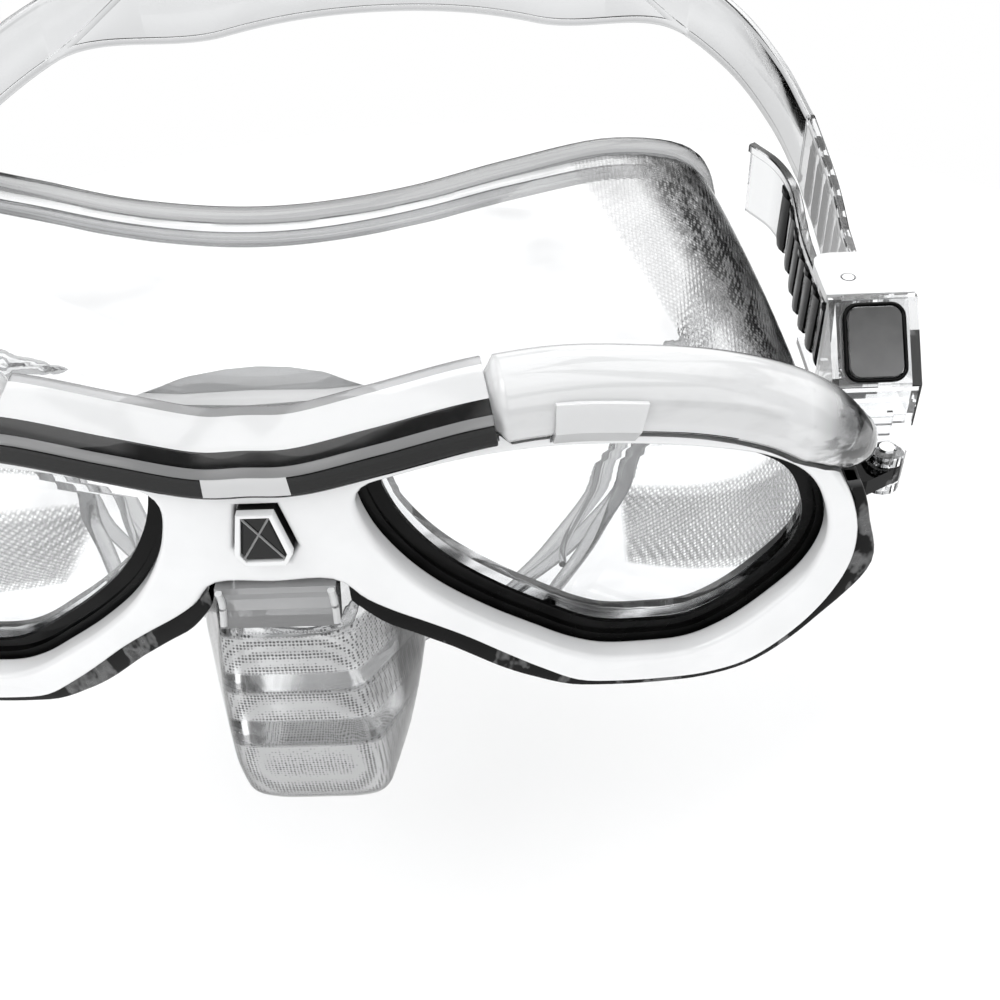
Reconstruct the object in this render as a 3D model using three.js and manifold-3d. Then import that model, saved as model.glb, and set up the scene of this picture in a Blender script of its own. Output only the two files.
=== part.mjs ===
// Twin-lens diving mask, in millimetres. The face-seal plane is y = 0, the wearer looks along -Y
// and +Z is up, so the wearer's left is +X. The left half is drawn and the right half mirrors it.
import * as THREE from 'three';
import { mergeVertices } from 'three/addons/utils/BufferGeometryUtils.js';
import Module from 'manifold-3d';

const wasm = await Module();
wasm.setup();

// ---------------------------------------------------------------- driving dimensions
const FINENESS = 0.02; // corners closer than this to their neighbours' faces are dropped
const GAP = 0.3; // clearance between pieces that touch on the real mask
const BRIDGE_HALF = 10; // the front is flat across the bridge, then sweeps back on each side
const WRAP_SLOPE = Math.tan(THREE.MathUtils.degToRad(9));

// Layers from front to back, as the y of each face at the bridge.
const BEZEL = { front: -64.1, back: -60.2, bevel: 0.9 };
const CHASSIS = {
  rim: -62.9, front: -59.9, back: -54.8, margin: 1.7, noseMargin: 1.5, bridge: 9.5, rimTop: 0.5,
};
const FLARE = { height: 2.0, middle: -17, span: 10.5 };
const LENS = { front: -58.4, thickness: 3.2, inset: 1.0 };
const GASKET = { front: -59.9, lip: 1.2, inside: 2.8, outside: 1.4, back: -54.8 };
const FLANGE = { front: -54.5, back: -52.3, inside: 2.2 };
const FAR = 100; // beyond the mask on every side, for cutting through

const RAIL_Y = -61.2; // centre of the brow rail at the bridge
const CAP_HALF = 29.6; // half length of the centre cap along the rail
const CLIP_SPAN = [36.8, 47.8];
const SHELF = { z: [18.9, 20.4], front: -57.2, back: -49.2, half: 17, corner: 1.2, stem: 9 };
const LEDGE = { z: [16.6, 30], margin: 2.4 }; // the skirt is solid round the shelf

const SKIRT_WALL = 2.2;
const LIP_WALL = 1.3;
const NOSE_WALL = 1.7;
// Where the skirt divides into its nose pocket, brow, temples and cheeks.
const SKIRT_SPLIT = { noseHalf: 19.4, noseTop: -5, browHalf: 37, cheekTop: -8 };

const LUG = { x: 85, y: -43.2, z: -4.7, radius: 2.7, half: 1.4 };
const PIN_RADIUS = 1.1;
const EAR = 1.6; // thickness of the buckle's two arms at the temple pin
const BUCKLE = {
  inner: 80.2, outer: 93.6, nose: -29.5, brow: -20, rear: -6, bottom: -8.5, top: 7.1, wall: 1.2,
};
const COVER = { bottom: 7.4, top: 8.7, front: -18.5 };
const ROLLER = { x: 84.6, y: -13.6, radius: 2.0, axle: 0.9, half: 6.7 };
const BUTTON = { x: 86.9, half: 3.95, long: 5.3, corner: 1.6 };
const PAWL = { x: 90.7, y: -15.5, low: -6.6, high: 0.2, pin: 0.7 };
const STRAP = { half: 6.8, thick: 1.6 };

// ---------------------------------------------------------------- outlines, as [x, z] on the front
const LENS_OPENING = [
  [12.4, 9.6], [13.4, 4.0], [16.4, -2.6], [21, -9.2], [27.5, -15.7], [34, -21], [39.5, -25.1],
  [44, -27.3], [50, -28.4], [57, -28.7], [62.5, -26.5], [68.5, -21.6], [73.5, -15.6], [75.4, -9],
  [74.3, -2.5], [71.3, 3.2], [65.6, 7.4], [57, 10.4], [47.5, 12.6], [37, 14.0], [26.5, 13.9],
  [17.5, 12.6], [13.6, 11.6],
];
// Half outlines run from the bottom of the bridge, round the lens, to the top of the bridge.
const BEZEL_HALF = [
  [0, -3.9], [8.2, -4.0], [11.5, -8.0], [15, -11.2], [19.5, -14.6], [24.5, -18.6], [30, -23.6],
  [35, -27.9], [40.5, -31.9], [46, -33.4], [53, -34.4], [60, -34.7], [66.5, -33.2], [72.8, -28.2],
  [77.2, -22.2], [79.8, -15.5], [80.1, -9.5], [78.5, -3], [75.5, 2.8], [70, 9], [62, 13.8],
  [52, 17.4], [40, 19], [26, 18.6], [14, 16.6], [6, 15.4], [0, 15.4],
];
const RAIL_HALF = [
  [0, 16.6], [5.5, 16.6], [16, 18.6], [28, 20.6], [38, 21], [48, 19.6], [58, 17.3], [67, 13.6],
  [73, 9.6], [77, 6], [79.6, 3],
];
// The skirt's edge under the frame, and the edge that seals on the face, from brow to upper lip.
const SKIRT_FRONT = [
  [0, 20.2], [10, 20.8], [22, 22.4], [36, 23], [50, 20.6], [61, 15], [70, 7.6], [76.4, -1.6],
  [79.4, -11], [78, -20], [71, -29], [60, -33.6], [48, -32.6], [38, -28.6], [29, -21.8],
  [21, -16.2], [12, -11], [0, -9.5],
];
const SKIRT_SEAL = [
  [0, -30, 31], [9, -29.6, 31.3], [20, -28, 32.2], [33, -24, 33.4], [48, -17, 32.6], [59.5, -10, 27],
  [64, -4, 17], [65.4, -1, 6], [65, 0, -5], [63, -0.5, -15], [58, -4, -24], [51, -9, -32],
  [43, -14, -38], [35, -19, -42.5], [27, -24, -46.5], [19, -28.5, -50], [10, -32, -52.6],
  [0, -33.5, -53.5],
];
// Level sections of the nose pocket: height, front y, front half width, side y, side half width.
const NOSE_LEVELS = [
  [-10.8, -63.5, 8, -57.5, 9.2], [-11.8, -65.2, 9.3, -57.5, 10.6], [-17, -66.6, 10, -54, 13.4],
  [-24, -67.5, 10.6, -51, 16.2], [-32, -68.1, 11.2, -50, 17], [-40, -68.3, 11.6, -52, 15.4],
  [-47, -67.7, 11.2, -55, 13.4], [-50.6, -65.8, 9.6, -57, 11], [-52.3, -62.4, 6.4, -56.5, 7.2],
];
const NOSE_BACK = -33.2; // the pocket runs back to the lip of the skirt

// ---------------------------------------------------------------- materials
function finish(color, roughness, metalness = 0) {
  return new THREE.MeshStandardMaterial({ color, roughness, metalness });
}
const SILICONE = finish(0xe4e9ea, 0.28);
const CLEAR_PLASTIC = finish(0xd5dcde, 0.06);
const WHITE_PLASTIC = finish(0xf6f7f7, 0.12);
const BLACK_RUBBER = finish(0x16181a, 0.3);
const GLASS = finish(0xeaf2f2, 0.02);
const GREY_PLASTIC = finish(0x4a4d4e, 0.35);
const STEEL = finish(0xb9bcbf, 0.2, 1);

// ---------------------------------------------------------------- solids
function toSolid(geometry) {
  const bare = geometry.index ? geometry.toNonIndexed() : geometry.clone();
  const extras = Object.keys(bare.attributes).filter((name) => name !== 'position');
  extras.forEach((name) => bare.deleteAttribute(name));
  const merged = mergeVertices(bare, 1e-4);
  const corners = Array.from(merged.index.array);
  const kept = [];
  for (let i = 0; i < corners.length; i += 3) {
    const [a, b, c] = corners.slice(i, i + 3);
    if (a !== b && b !== c && a !== c) kept.push(a, b, c);
  }
  return new wasm.Manifold(new wasm.Mesh({
    numProp: 3,
    vertProperties: new Float32Array(merged.attributes.position.array),
    triVerts: new Uint32Array(kept),
  }));
}

function toGeometry(solid) {
  const mesh = solid.getMesh();
  const geometry = new THREE.BufferGeometry();
  geometry.setAttribute('position', new THREE.BufferAttribute(new Float32Array(mesh.vertProperties), 3));
  geometry.setIndex(Array.from(mesh.triVerts));
  return geometry;
}

// Puts every corner on a grid of a thousandth of a millimetre.
function snapped(geometry) {
  const { array } = geometry.attributes.position;
  array.forEach((value, i) => { array[i] = Math.round(value * 1000) / 1000; });
  return geometry;
}

function joined(solids) {
  return solids.reduce((sum, solid) => sum.add(solid));
}

function cutBy(solid, tools) {
  return tools.reduce((rest, tool) => rest.subtract(tool), solid);
}

function boxSolid([x0, x1], [y0, y1], [z0, z1]) {
  const box = new THREE.BoxGeometry(x1 - x0, y1 - y0, z1 - z0);
  return toSolid(box.translate((x0 + x1) / 2, (y0 + y1) / 2, (z0 + z1) / 2));
}

// A cylinder along Z between two heights.
function post(x, y, radius, [z0, z1], sides = 16) {
  const cylinder = new THREE.CylinderGeometry(radius, radius, z1 - z0, sides);
  return cylinder.rotateX(Math.PI / 2).translate(x, y, (z0 + z1) / 2);
}

function mirrored(geometry) {
  const flipped = geometry.index ? geometry.toNonIndexed() : geometry.clone();
  const position = flipped.attributes.position;
  for (let i = 0; i < position.count; i += 3) {
    const corner = [0, 1, 2].map((k) => new THREE.Vector3().fromBufferAttribute(position, i + k));
    [corner[0], corner[2], corner[1]].forEach((p, k) => position.setXYZ(i + k, -p.x, p.y, p.z));
  }
  return flipped;
}

// ---------------------------------------------------------------- curves and outlines
function wrap(x) {
  return WRAP_SLOPE * Math.max(0, Math.abs(x) - BRIDGE_HALF);
}

function closedCurve(points, count) {
  const curve = new THREE.CatmullRomCurve3(points.map(([x, z]) => new THREE.Vector3(x, 0, z)), true);
  return curve.getSpacedPoints(count).slice(0, count).map((p) => new THREE.Vector2(p.x, p.z));
}

// A closed outline from a half that starts and ends on the middle line.
function wholeOutline(half) {
  const right = half.slice(1, -1).reverse().map(([x, z]) => [-x, z]);
  return [...half, ...right].map(([x, z]) => new THREE.Vector2(x, z));
}

// Moves an outline along its own normals; a positive distance makes it larger.
function grown(outline, distance) {
  const outward = THREE.ShapeUtils.isClockWise(outline) ? -1 : 1;
  const count = outline.length;
  return outline.map((point, i) => {
    const before = outline[(i + count - 1) % count];
    const after = outline[(i + 1) % count];
    const along = after.clone().sub(before).normalize();
    const step = distance * outward;
    return new THREE.Vector2(point.x + along.y * step, point.y - along.x * step);
  });
}

const OPENING = closedCurve(LENS_OPENING, 36);

// ---------------------------------------------------------------- extrusions
// A flat outline drawn on the front, given thickness between two y values.
function plate(outline, holes, front, back, bevel = 0) {
  const shape = new THREE.Shape(outline);
  shape.holes = holes.map((hole) => new THREE.Path(hole));
  const geometry = new THREE.ExtrudeGeometry(shape, {
    depth: back - front - 2 * bevel,
    bevelEnabled: bevel > 0,
    bevelThickness: bevel,
    bevelSize: bevel,
    bevelOffset: -bevel,
    bevelSegments: 1,
  });
  return geometry.rotateX(Math.PI / 2).translate(0, back - bevel, 0);
}

// A profile drawn in the level plane, as [x, y], given height between two z values.
function upright(points, [z0, z1], holes = []) {
  const shape = new THREE.Shape(points.map(([x, y]) => new THREE.Vector2(x, y)));
  shape.holes = holes;
  return new THREE.ExtrudeGeometry(shape, { depth: z1 - z0, bevelEnabled: false }).translate(0, 0, z0);
}

// Sweeps a flat front solid back on each side of the bridge.
function sweptBack(solid) {
  const reach = 120;
  const lap = 0.4;
  const bands = [
    { from: -reach, to: lap - BRIDGE_HALF, slope: -WRAP_SLOPE },
    { from: -lap - BRIDGE_HALF, to: BRIDGE_HALF + lap, slope: 0 },
    { from: BRIDGE_HALF - lap, to: reach, slope: WRAP_SLOPE },
  ];
  return joined(bands.map(({ from, to, slope }) => {
    const band = toGeometry(solid.intersect(boxSolid([from, to], [-reach, reach], [-reach, reach])));
    const shear = new THREE.Matrix4().set(1, 0, 0, 0, slope, 1, 0, -Math.abs(slope) * BRIDGE_HALF,
      0, 0, 1, 0, 0, 0, 0, 1);
    return toSolid(band.applyMatrix4(shear));
  }));
}

// ---------------------------------------------------------------- lofts
// Joins rings of points into a skin. Open lofts are closed by a fan or by the ring's own triangles.
function loft(rings, { loop = false, fan = false } = {}) {
  const count = rings[0].length;
  const points = rings.flat().map((p) => p.clone());
  const faces = [];
  const spans = loop ? rings.length : rings.length - 1;
  for (let i = 0; i < spans; i += 1) {
    const next = (i + 1) % rings.length;
    for (let j = 0; j < count; j += 1) {
      const k = (j + 1) % count;
      const [a, b, c, d] = [i * count + j, i * count + k, next * count + k, next * count + j];
      faces.push([a, b, c], [a, c, d]);
    }
  }
  if (!loop) {
    [[0, true], [rings.length - 1, false]].forEach(([index, start]) => {
      const ring = rings[index];
      const base = index * count;
      const lid = fan ? fanFaces(ring, base, points) : flatFaces(ring, base);
      lid.forEach(([a, b, c]) => faces.push(start ? [a, c, b] : [a, b, c]));
    });
  }
  const geometry = new THREE.BufferGeometry().setFromPoints(points);
  geometry.setIndex(faces.flat());
  return enclosedVolume(geometry) < 0 ? turnedOut(geometry) : geometry;
}

function fanFaces(ring, base, points) {
  const centre = ring.reduce((sum, p) => sum.add(p), new THREE.Vector3()).divideScalar(ring.length);
  points.push(centre);
  const hub = points.length - 1;
  return ring.map((_, j) => [base + j, base + (j + 1) % ring.length, hub]);
}

// Triangulates a flat ring in the plane that it lies closest to.
function flatFaces(ring, base) {
  const normal = new THREE.Vector3();
  ring.forEach((p, j) => normal.add(new THREE.Vector3().crossVectors(p, ring[(j + 1) % ring.length])));
  normal.normalize();
  const across = new THREE.Vector3(0, 0, 1).cross(normal);
  if (across.length() < 0.1) across.set(1, 0, 0);
  across.normalize();
  const upward = new THREE.Vector3().crossVectors(normal, across);
  const flat = ring.map((p) => new THREE.Vector2(p.dot(across), p.dot(upward)));
  return THREE.ShapeUtils.triangulateShape(flat, []).map((face) => face.map((j) => base + j));
}

function enclosedVolume(geometry) {
  const position = geometry.attributes.position;
  const at = (i) => new THREE.Vector3().fromBufferAttribute(position, geometry.index.array[i]);
  let volume = 0;
  for (let i = 0; i < geometry.index.count; i += 3) {
    volume += at(i).dot(at(i + 1).cross(at(i + 2))) / 6;
  }
  return volume;
}

function turnedOut(geometry) {
  const index = Array.from(geometry.index.array);
  for (let i = 0; i < index.length; i += 3) {
    [index[i + 1], index[i + 2]] = [index[i + 2], index[i + 1]];
  }
  return geometry.setIndex(index);
}

// ---------------------------------------------------------------- lens, gasket
function buildLens() {
  const outline = grown(OPENING, -LENS.inset);
  return sweptBack(toSolid(plate(outline, [], LENS.front, LENS.front + LENS.thickness))
    .intersect(boxSolid([BRIDGE_HALF, 100], [-100, 0], [-100, 100])));
}

// An L section round the opening: a lip in front of the glass and a wall round its edge.
function buildGasket(cutters) {
  const outer = grown(OPENING, GASKET.outside);
  const ring = plate(outer, [grown(OPENING, -GASKET.inside)], GASKET.front, GASKET.back);
  const seat = plate(grown(OPENING, GAP - LENS.inset), [], GASKET.front + GASKET.lip, GASKET.back + 1);
  return sweptBack(cutBy(toSolid(ring).subtract(toSolid(seat)), cutters));
}

// ---------------------------------------------------------------- brow rail, cap and clips
function railCurve() {
  const left = RAIL_HALF.map(([x, z]) => railPoint(x, z));
  const right = RAIL_HALF.slice(1).reverse().map(([x, z]) => railPoint(-x, z));
  return new THREE.CatmullRomCurve3([...right, ...left], false, 'centripetal');
}

// The rail follows the swept front, and its last stretch turns back along the temple.
function railPoint(x, z) {
  const turn = Math.max(0, Math.abs(x) - 76);
  return new THREE.Vector3(x, RAIL_Y + wrap(x) + turn * 0.9, z);
}

// Sweeps a section along the rail between two x values. Section points are [forward, up].
function railSweep(from, to, stations, section) {
  const curve = railCurve();
  const whole = 240;
  const samples = curve.getSpacedPoints(whole);
  const rings = [];
  for (let i = 0; i <= stations; i += 1) {
    const x = from + (to - from) * (i / stations);
    const after = samples.findIndex((p) => p.x >= x - 1e-6);
    const t = after <= 0 ? (after === 0 ? 0 : 1) : (after - (samples[after].x - x)
      / (samples[after].x - samples[after - 1].x)) / whole;
    const centre = curve.getPointAt(t);
    const along = curve.getTangentAt(t);
    const forward = new THREE.Vector3(0, -1, 0).addScaledVector(along, along.y).normalize();
    const up = new THREE.Vector3().crossVectors(forward, along).normalize();
    rings.push(section(centre.x).map(([a, b]) => centre.clone().addScaledVector(forward, a)
      .addScaledVector(up, b)));
  }
  return loft(rings);
}

const RAIL_SECTION = [
  [4.3, -3.0], [3.3, -4.6], [-0.7, -4.6], [-4.0, -1.4], [-4.0, 3.0], [-2.4, 4.6], [1.6, 3.9], [4.3, 0.9],
];
// The rail thins to this section inside the cap.
const CORE_SECTION = [
  [2.9, -2.0], [2.2, -3.1], [-0.5, -3.1], [-2.8, -1.0], [-2.8, 2.0], [-1.7, 2.8], [1.2, 1.6], [2.8, 0.1],
];
const CAP_SECTION = [
  [4.4, -4.0], [4.9, -3.3], [4.9, -0.4], [4.2, 0.7], [2.7, 2.1], [-1.9, 3.9], [-3.5, 4.2], [-3.5, 3.6],
  [-1.9, 3.25], [1.5, 1.95], [3.35, 0.35], [3.4, -2.4], [2.6, -3.55], [1.6, -3.55], [1.6, -4.0],
];
const CLIP_SECTION = [
  [5.3, 1.4], [5.3, -3.0], [3.9, -5.4], [-0.5, -5.4], [-0.5, -4.9], [3.6, -4.9], [4.7, -2.9],
  [4.7, 1.4],
];

// The rail's section at x: the core inside the cap, the full section outside it, smaller at the ends.
function railSection(x, growth = 1) {
  const step = 0.8;
  const outside = THREE.MathUtils.clamp((Math.abs(x) - CAP_HALF - GAP) / step, 0, 1);
  const taper = THREE.MathUtils.clamp((Math.abs(x) - 72) / 8, 0, 1);
  const scale = (1 - 0.35 * taper) * growth;
  return RAIL_SECTION.map(([a, b], i) => [
    THREE.MathUtils.lerp(CORE_SECTION[i][0], a, outside) * scale,
    THREE.MathUtils.lerp(CORE_SECTION[i][1], b, outside) * scale,
  ]);
}

function buildRail() {
  return railSweep(-79.5, 79.5, 76, (x) => railSection(x));
}

function buildCap() {
  return railSweep(-CAP_HALF, CAP_HALF, 22, () => CAP_SECTION);
}

function buildClip() {
  return railSweep(CLIP_SPAN[0], CLIP_SPAN[1], 4, () => CLIP_SECTION);
}

// The space that the rail, its cap and clips take out of the layers behind them.
function railClearance() {
  const rail = railSweep(-79.59, 79.59, 60, (x) => railSection(x, 1.12));
  const hull = [[5.4, -4.5], [5.4, 1], [-1.9, 4.4], [-3.9, 4.6], [-3.9, 2.6], [0.2, -4.5]];
  const cap = railSweep(-CAP_HALF - GAP, CAP_HALF + GAP, 22, () => hull);
  const clipHull = [[5.8, 0.8], [5.8, -3.5], [4.2, -6], [-0.9, -6], [-0.9, -4], [0, 0.8]];
  const clip = railSweep(CLIP_SPAN[0] - GAP, CLIP_SPAN[1] + GAP, 4, () => clipHull);
  return [rail, cap, clip, mirrored(clip)].map(toSolid);
}

// ---------------------------------------------------------------- bezel, latch and tongue
// The latch's outline, a trapezoid with cut lower corners, grown by a margin.
function latchOutline(margin) {
  const half = [[2.3, 9.6], [3.7, 2.8], [2.6, 0.9]];
  const corners = [...half, ...half.slice().reverse().map(([x, z]) => [-x, z])];
  return grown(corners.map(([x, z]) => new THREE.Vector2(x, z)), margin);
}

function buildBezel(clearance) {
  const outline = wholeOutline(BEZEL_HALF);
  const openings = [OPENING, OPENING.map((p) => new THREE.Vector2(-p.x, p.y)), latchOutline(0.45)];
  const face = toSolid(plate(outline, openings, BEZEL.front, BEZEL.back, BEZEL.bevel));
  return cutBy(sweptBack(face), clearance);
}

function buildLatch() {
  const [foot, rim, table] = [[0, -60.5], [0, -64.4], [-1.1, -65.3]].map(([margin, y]) => (
    latchOutline(margin).map((p) => new THREE.Vector3(p.x, y, p.y))));
  return loft([foot, rim, table]);
}

function buildTongue() {
  const profile = [
    [-61.2, -4.3], [-64.4, -4.3], [-64.8, -5.0], [-64.3, -6.5], [-64.5, -8.4], [-65.6, -9.8],
    [-65.9, -10.4], [-63.6, -10.4], [-62.4, -8.4], [-61.2, -6.2],
  ];
  return loft([-8.1, -6.4, 6.4, 8.1].map((x) => profile.map(([y, z]) => new THREE.Vector3(x, y, z))));
}

// ---------------------------------------------------------------- chassis
// The chassis spreads beyond the bezel below each temple lug.
function templeFlare(point) {
  const { height, middle, span } = FLARE;
  const share = THREE.MathUtils.smoothstep(1 - Math.abs(point.y - middle) / span, 0, 1);
  const outside = Math.abs(point.x) > 70 ? 1 : 0;
  point.x += Math.sign(point.x) * outside * height * share;
  return point;
}

// How far the chassis stands out round the bezel: more beside the nose pocket.
function chassisOutline() {
  const bezel = wholeOutline(BEZEL_HALF);
  const near = grown(bezel, CHASSIS.margin);
  const far = grown(bezel, CHASSIS.margin + CHASSIS.noseMargin);
  return bezel.map(({ x, y }, i) => {
    const from = Math.abs(x);
    const beside = THREE.MathUtils.smoothstep(from, 9, 17) * (1 - THREE.MathUtils.smoothstep(from, 30, 44));
    return near[i].lerp(far[i], y < 0 ? beside : 0);
  }).map(templeFlare);
}

// The rim that shows round the bezel, from one side of the tongue to below the temple.
function buildRim(outline) {
  const inside = grown(wholeOutline(BEZEL_HALF), GAP);
  const ring = toSolid(plate(outline, [inside], CHASSIS.rim, CHASSIS.front + 1));
  const { bridge, rimTop } = CHASSIS;
  return ring.subtract(boxSolid([-bridge, bridge], [-FAR, FAR], [-FAR, FAR]))
    .subtract(boxSolid([-FAR, FAR], [-FAR, FAR], [rimTop, FAR]));
}

function buildChassis(clearance) {
  const outline = chassisOutline();
  const seat = grown(OPENING, GASKET.outside + GAP);
  const seats = [seat, seat.map((p) => new THREE.Vector2(-p.x, p.y))];
  const body = toSolid(plate(outline, seats, CHASSIS.front, CHASSIS.back));
  const frame = sweptBack(body.add(buildRim(outline)));
  const lug = buildLug();
  return cutBy(joined([frame, buildShelf(), lug, toSolid(mirrored(toGeometry(lug)))]), clearance);
}

// The pointed shelf that closes the dip of the rail at the bridge.
function buildShelf() {
  const { z, front, stem } = SHELF;
  const root = boxSolid([-stem, stem], [front + 0.2, CHASSIS.back], [14, z[0] + 0.5]);
  return toSolid(upright(shelfOutline(0), z)).add(root);
}

function shelfOutline(margin) {
  const { front, back, half } = SHELF;
  const corner = front + SHELF.corner;
  const points = [[-half, corner], [0, front], [half, corner]];
  for (let i = 1; i < 8; i += 1) {
    const x = half - (2 * half * i) / 8;
    points.push([x, corner + (back - corner) * (1 - (x / half) ** 2)]);
  }
  return grown(points.map(([x, y]) => new THREE.Vector2(x, y)), margin).map((p) => [p.x, p.y]);
}

function buildLug() {
  const { x, y, z, radius, half } = LUG;
  const heights = [z - half, z + half];
  const flank = radius * 0.7;
  const web = [
    [78.6, -48.4], [81.4, -48.2], [x + flank, y - flank], [x, y + radius], [79.6, -43.9], [78.6, -45],
  ];
  const knuckle = toSolid(post(x, y, radius, heights)).add(toSolid(upright(web, heights)));
  return knuckle.subtract(toSolid(post(x, y, PIN_RADIUS + GAP, [-12, 10])));
}

// ---------------------------------------------------------------- silicone skirt
// A ring of the skirt between its front edge (0) and its seal edge (1), with an outward bulge.
function skirtRing(share, inset) {
  const half = SKIRT_FRONT.map(([x, z], i) => {
    const [sx, sy, sz] = SKIRT_SEAL[i];
    const front = new THREE.Vector3(x, FLANGE.front + wrap(x), z);
    return front.lerp(new THREE.Vector3(sx, sy, sz), share);
  });
  const whole = [...half, ...half.slice(1, -1).reverse().map((p) => new THREE.Vector3(-p.x, p.y, p.z))];
  const curve = new THREE.CatmullRomCurve3(whole, true, 'centripetal');
  const count = 44;
  const smooth = Array.from({ length: count }, (_, i) => curve.getPoint(i / count));
  const bulge = 2.4 * Math.sin(Math.PI * share) ** 0.8;
  const flat = grown(smooth.map((p) => new THREE.Vector2(p.x, p.z)), bulge - inset);
  return smooth.map((p, i) => new THREE.Vector3(flat[i].x, p.y, flat[i].y));
}

function noseRing([z, front, frontHalf, side, sideHalf], inset, back) {
  const half = [
    [0, front], [0.55 * frontHalf, front], [0.9 * frontHalf, front + 0.5], [frontHalf, front + 1.8],
    [(frontHalf + sideHalf) / 2, (front + side) / 2 + 0.6], [sideHalf, side], [sideHalf, back], [0, back],
  ].map(([x, y]) => [Math.max(0, x - (x > 0.1 ? inset : 0)), y < back - 1 ? y + inset : y]);
  const whole = [...half, ...half.slice(1, -1).reverse().map(([x, y]) => [-x, y])];
  return whole.map(([x, y]) => new THREE.Vector3(x, y, z));
}

// Everything in front of a plane that is swept back like the frame and meets the bridge at y.
function inFrontOf(y) {
  const [half, low, high] = [95, -60, 45];
  const corners = [[-half, low], [half, low], [half, high], [-half, high]];
  return sweptBack(toSolid(plate(corners.map(([x, z]) => new THREE.Vector2(x, z)), [], -FAR, y)));
}

function buildSkirt() {
  const reach = 8;
  const shifted = (ring, distance) => ring.map((p) => new THREE.Vector3(p.x, p.y + distance, p.z));
  const shares = [0, 0.16, 0.38, 0.62, 0.85, 1];
  const skin = shares.map((share) => skirtRing(share, 0));
  const body = toSolid(loft([shifted(skin[0], -reach), ...skin], { fan: true }));
  const outer = body.subtract(inFrontOf(FLANGE.front));
  const wall = (share) => THREE.MathUtils.lerp(SKIRT_WALL, LIP_WALL, share);
  const hollow = shares.map((share) => skirtRing(share, wall(share)));
  const rings = [shifted(hollow[0], -reach), ...hollow, shifted(hollow[hollow.length - 1], reach)];
  const inner = toSolid(loft(rings, { fan: true })).subtract(inFrontOf(FLANGE.back));
  const pocket = toSolid(loft(NOSE_LEVELS.map((level) => noseRing(level, 0, NOSE_BACK))));
  const top = NOSE_LEVELS[0][0] - NOSE_WALL;
  const bottom = NOSE_LEVELS[NOSE_LEVELS.length - 1][0] + NOSE_WALL;
  const hollowLevels = NOSE_LEVELS.map(([z, ...rest]) => (
    [THREE.MathUtils.clamp(z, bottom, top), ...rest])).slice(1);
  hollowLevels.forEach((level, i) => { level[0] -= i === 0 ? 0 : 0.02 * i; });
  const openBack = NOSE_BACK + 12;
  const pocketHollow = toSolid(loft(hollowLevels.map((level) => noseRing(level, NOSE_WALL, openBack))));
  const eyes = [1, -1].map((side) => {
    const hole = grown(OPENING, -FLANGE.inside).map((p) => new THREE.Vector2(side * p.x, p.y));
    return toSolid(plate(hole, [], -FAR, FLANGE.back + 12));
  });
  const shelfRoom = toSolid(upright(shelfOutline(2 * GAP), [SHELF.z[0] - GAP, SHELF.z[1] + 6]));
  const ledge = outer.intersect(toSolid(upright(shelfOutline(LEDGE.margin), LEDGE.z)));
  const hollowed = cutBy(joined([outer, pocket]), [inner, pocketHollow, ...eyes]);
  return joined([hollowed, ledge]).subtract(shelfRoom);
}

// The skirt is one moulding. It is drawn as stretches a gap apart, so that each is a simple shell.
function skirtStretches() {
  const skirt = buildSkirt();
  const { noseHalf, noseTop, browHalf, cheekTop } = SKIRT_SPLIT;
  const depth = [-FAR, FAR];
  const noseRoom = (margin) => {
    const half = noseHalf + margin;
    return boxSolid([-half, half], depth, [-FAR, noseTop + margin]);
  };
  const rest = skirt.subtract(noseRoom(GAP));
  const walls = rest.subtract(inFrontOf(FLANGE.back));
  return {
    nose: skirt.intersect(noseRoom(0)),
    front: rest.intersect(inFrontOf(FLANGE.back - GAP)),
    brow: walls.intersect(boxSolid([-browHalf, browHalf], depth, [0, FAR])),
    temple: walls.intersect(boxSolid([browHalf + GAP, FAR], depth, [cheekTop, FAR])),
    cheek: walls.intersect(boxSolid([noseHalf, FAR], depth, [-FAR, cheekTop - GAP])),
  };
}

// ---------------------------------------------------------------- buckle
// Side profiles are [y, z] and run across the buckle between two x values.
function acrossBuckle(profile, [x0, x1]) {
  return toSolid(loft([x0, x1].map((x) => profile.map(([y, z]) => new THREE.Vector3(x, y, z)))));
}

// A rounded plate on the sloping front face: half width, half length along the slope, corner radius,
// and how far its two faces lie below the slope.
function onSlope(halfWidth, halfLength, corner, [d0, d1], x = BUTTON.x) {
  const shape = new THREE.Shape();
  const [w, l] = [halfWidth - corner, halfLength - corner];
  shape.absarc(w, l, corner, 0, Math.PI / 2);
  shape.absarc(-w, l, corner, Math.PI / 2, Math.PI);
  shape.absarc(-w, -l, corner, Math.PI, Math.PI * 1.5);
  shape.absarc(w, -l, corner, Math.PI * 1.5, Math.PI * 2);
  const slab = new THREE.ExtrudeGeometry(shape, { depth: d1 - d0, bevelEnabled: false, curveSegments: 3 });
  slab.translate(x, 0, -d1).rotateX(Math.PI / 4).translate(0, SLOPE_MIDDLE.y, SLOPE_MIDDLE.z);
  return toSolid(slab);
}

const SLOPE_TOP = 8.7;
const SLOPE_MIDDLE = { y: (BUCKLE.brow + BUCKLE.nose) / 2, z: SLOPE_TOP - (BUCKLE.brow - BUCKLE.nose) / 2 };

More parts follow.
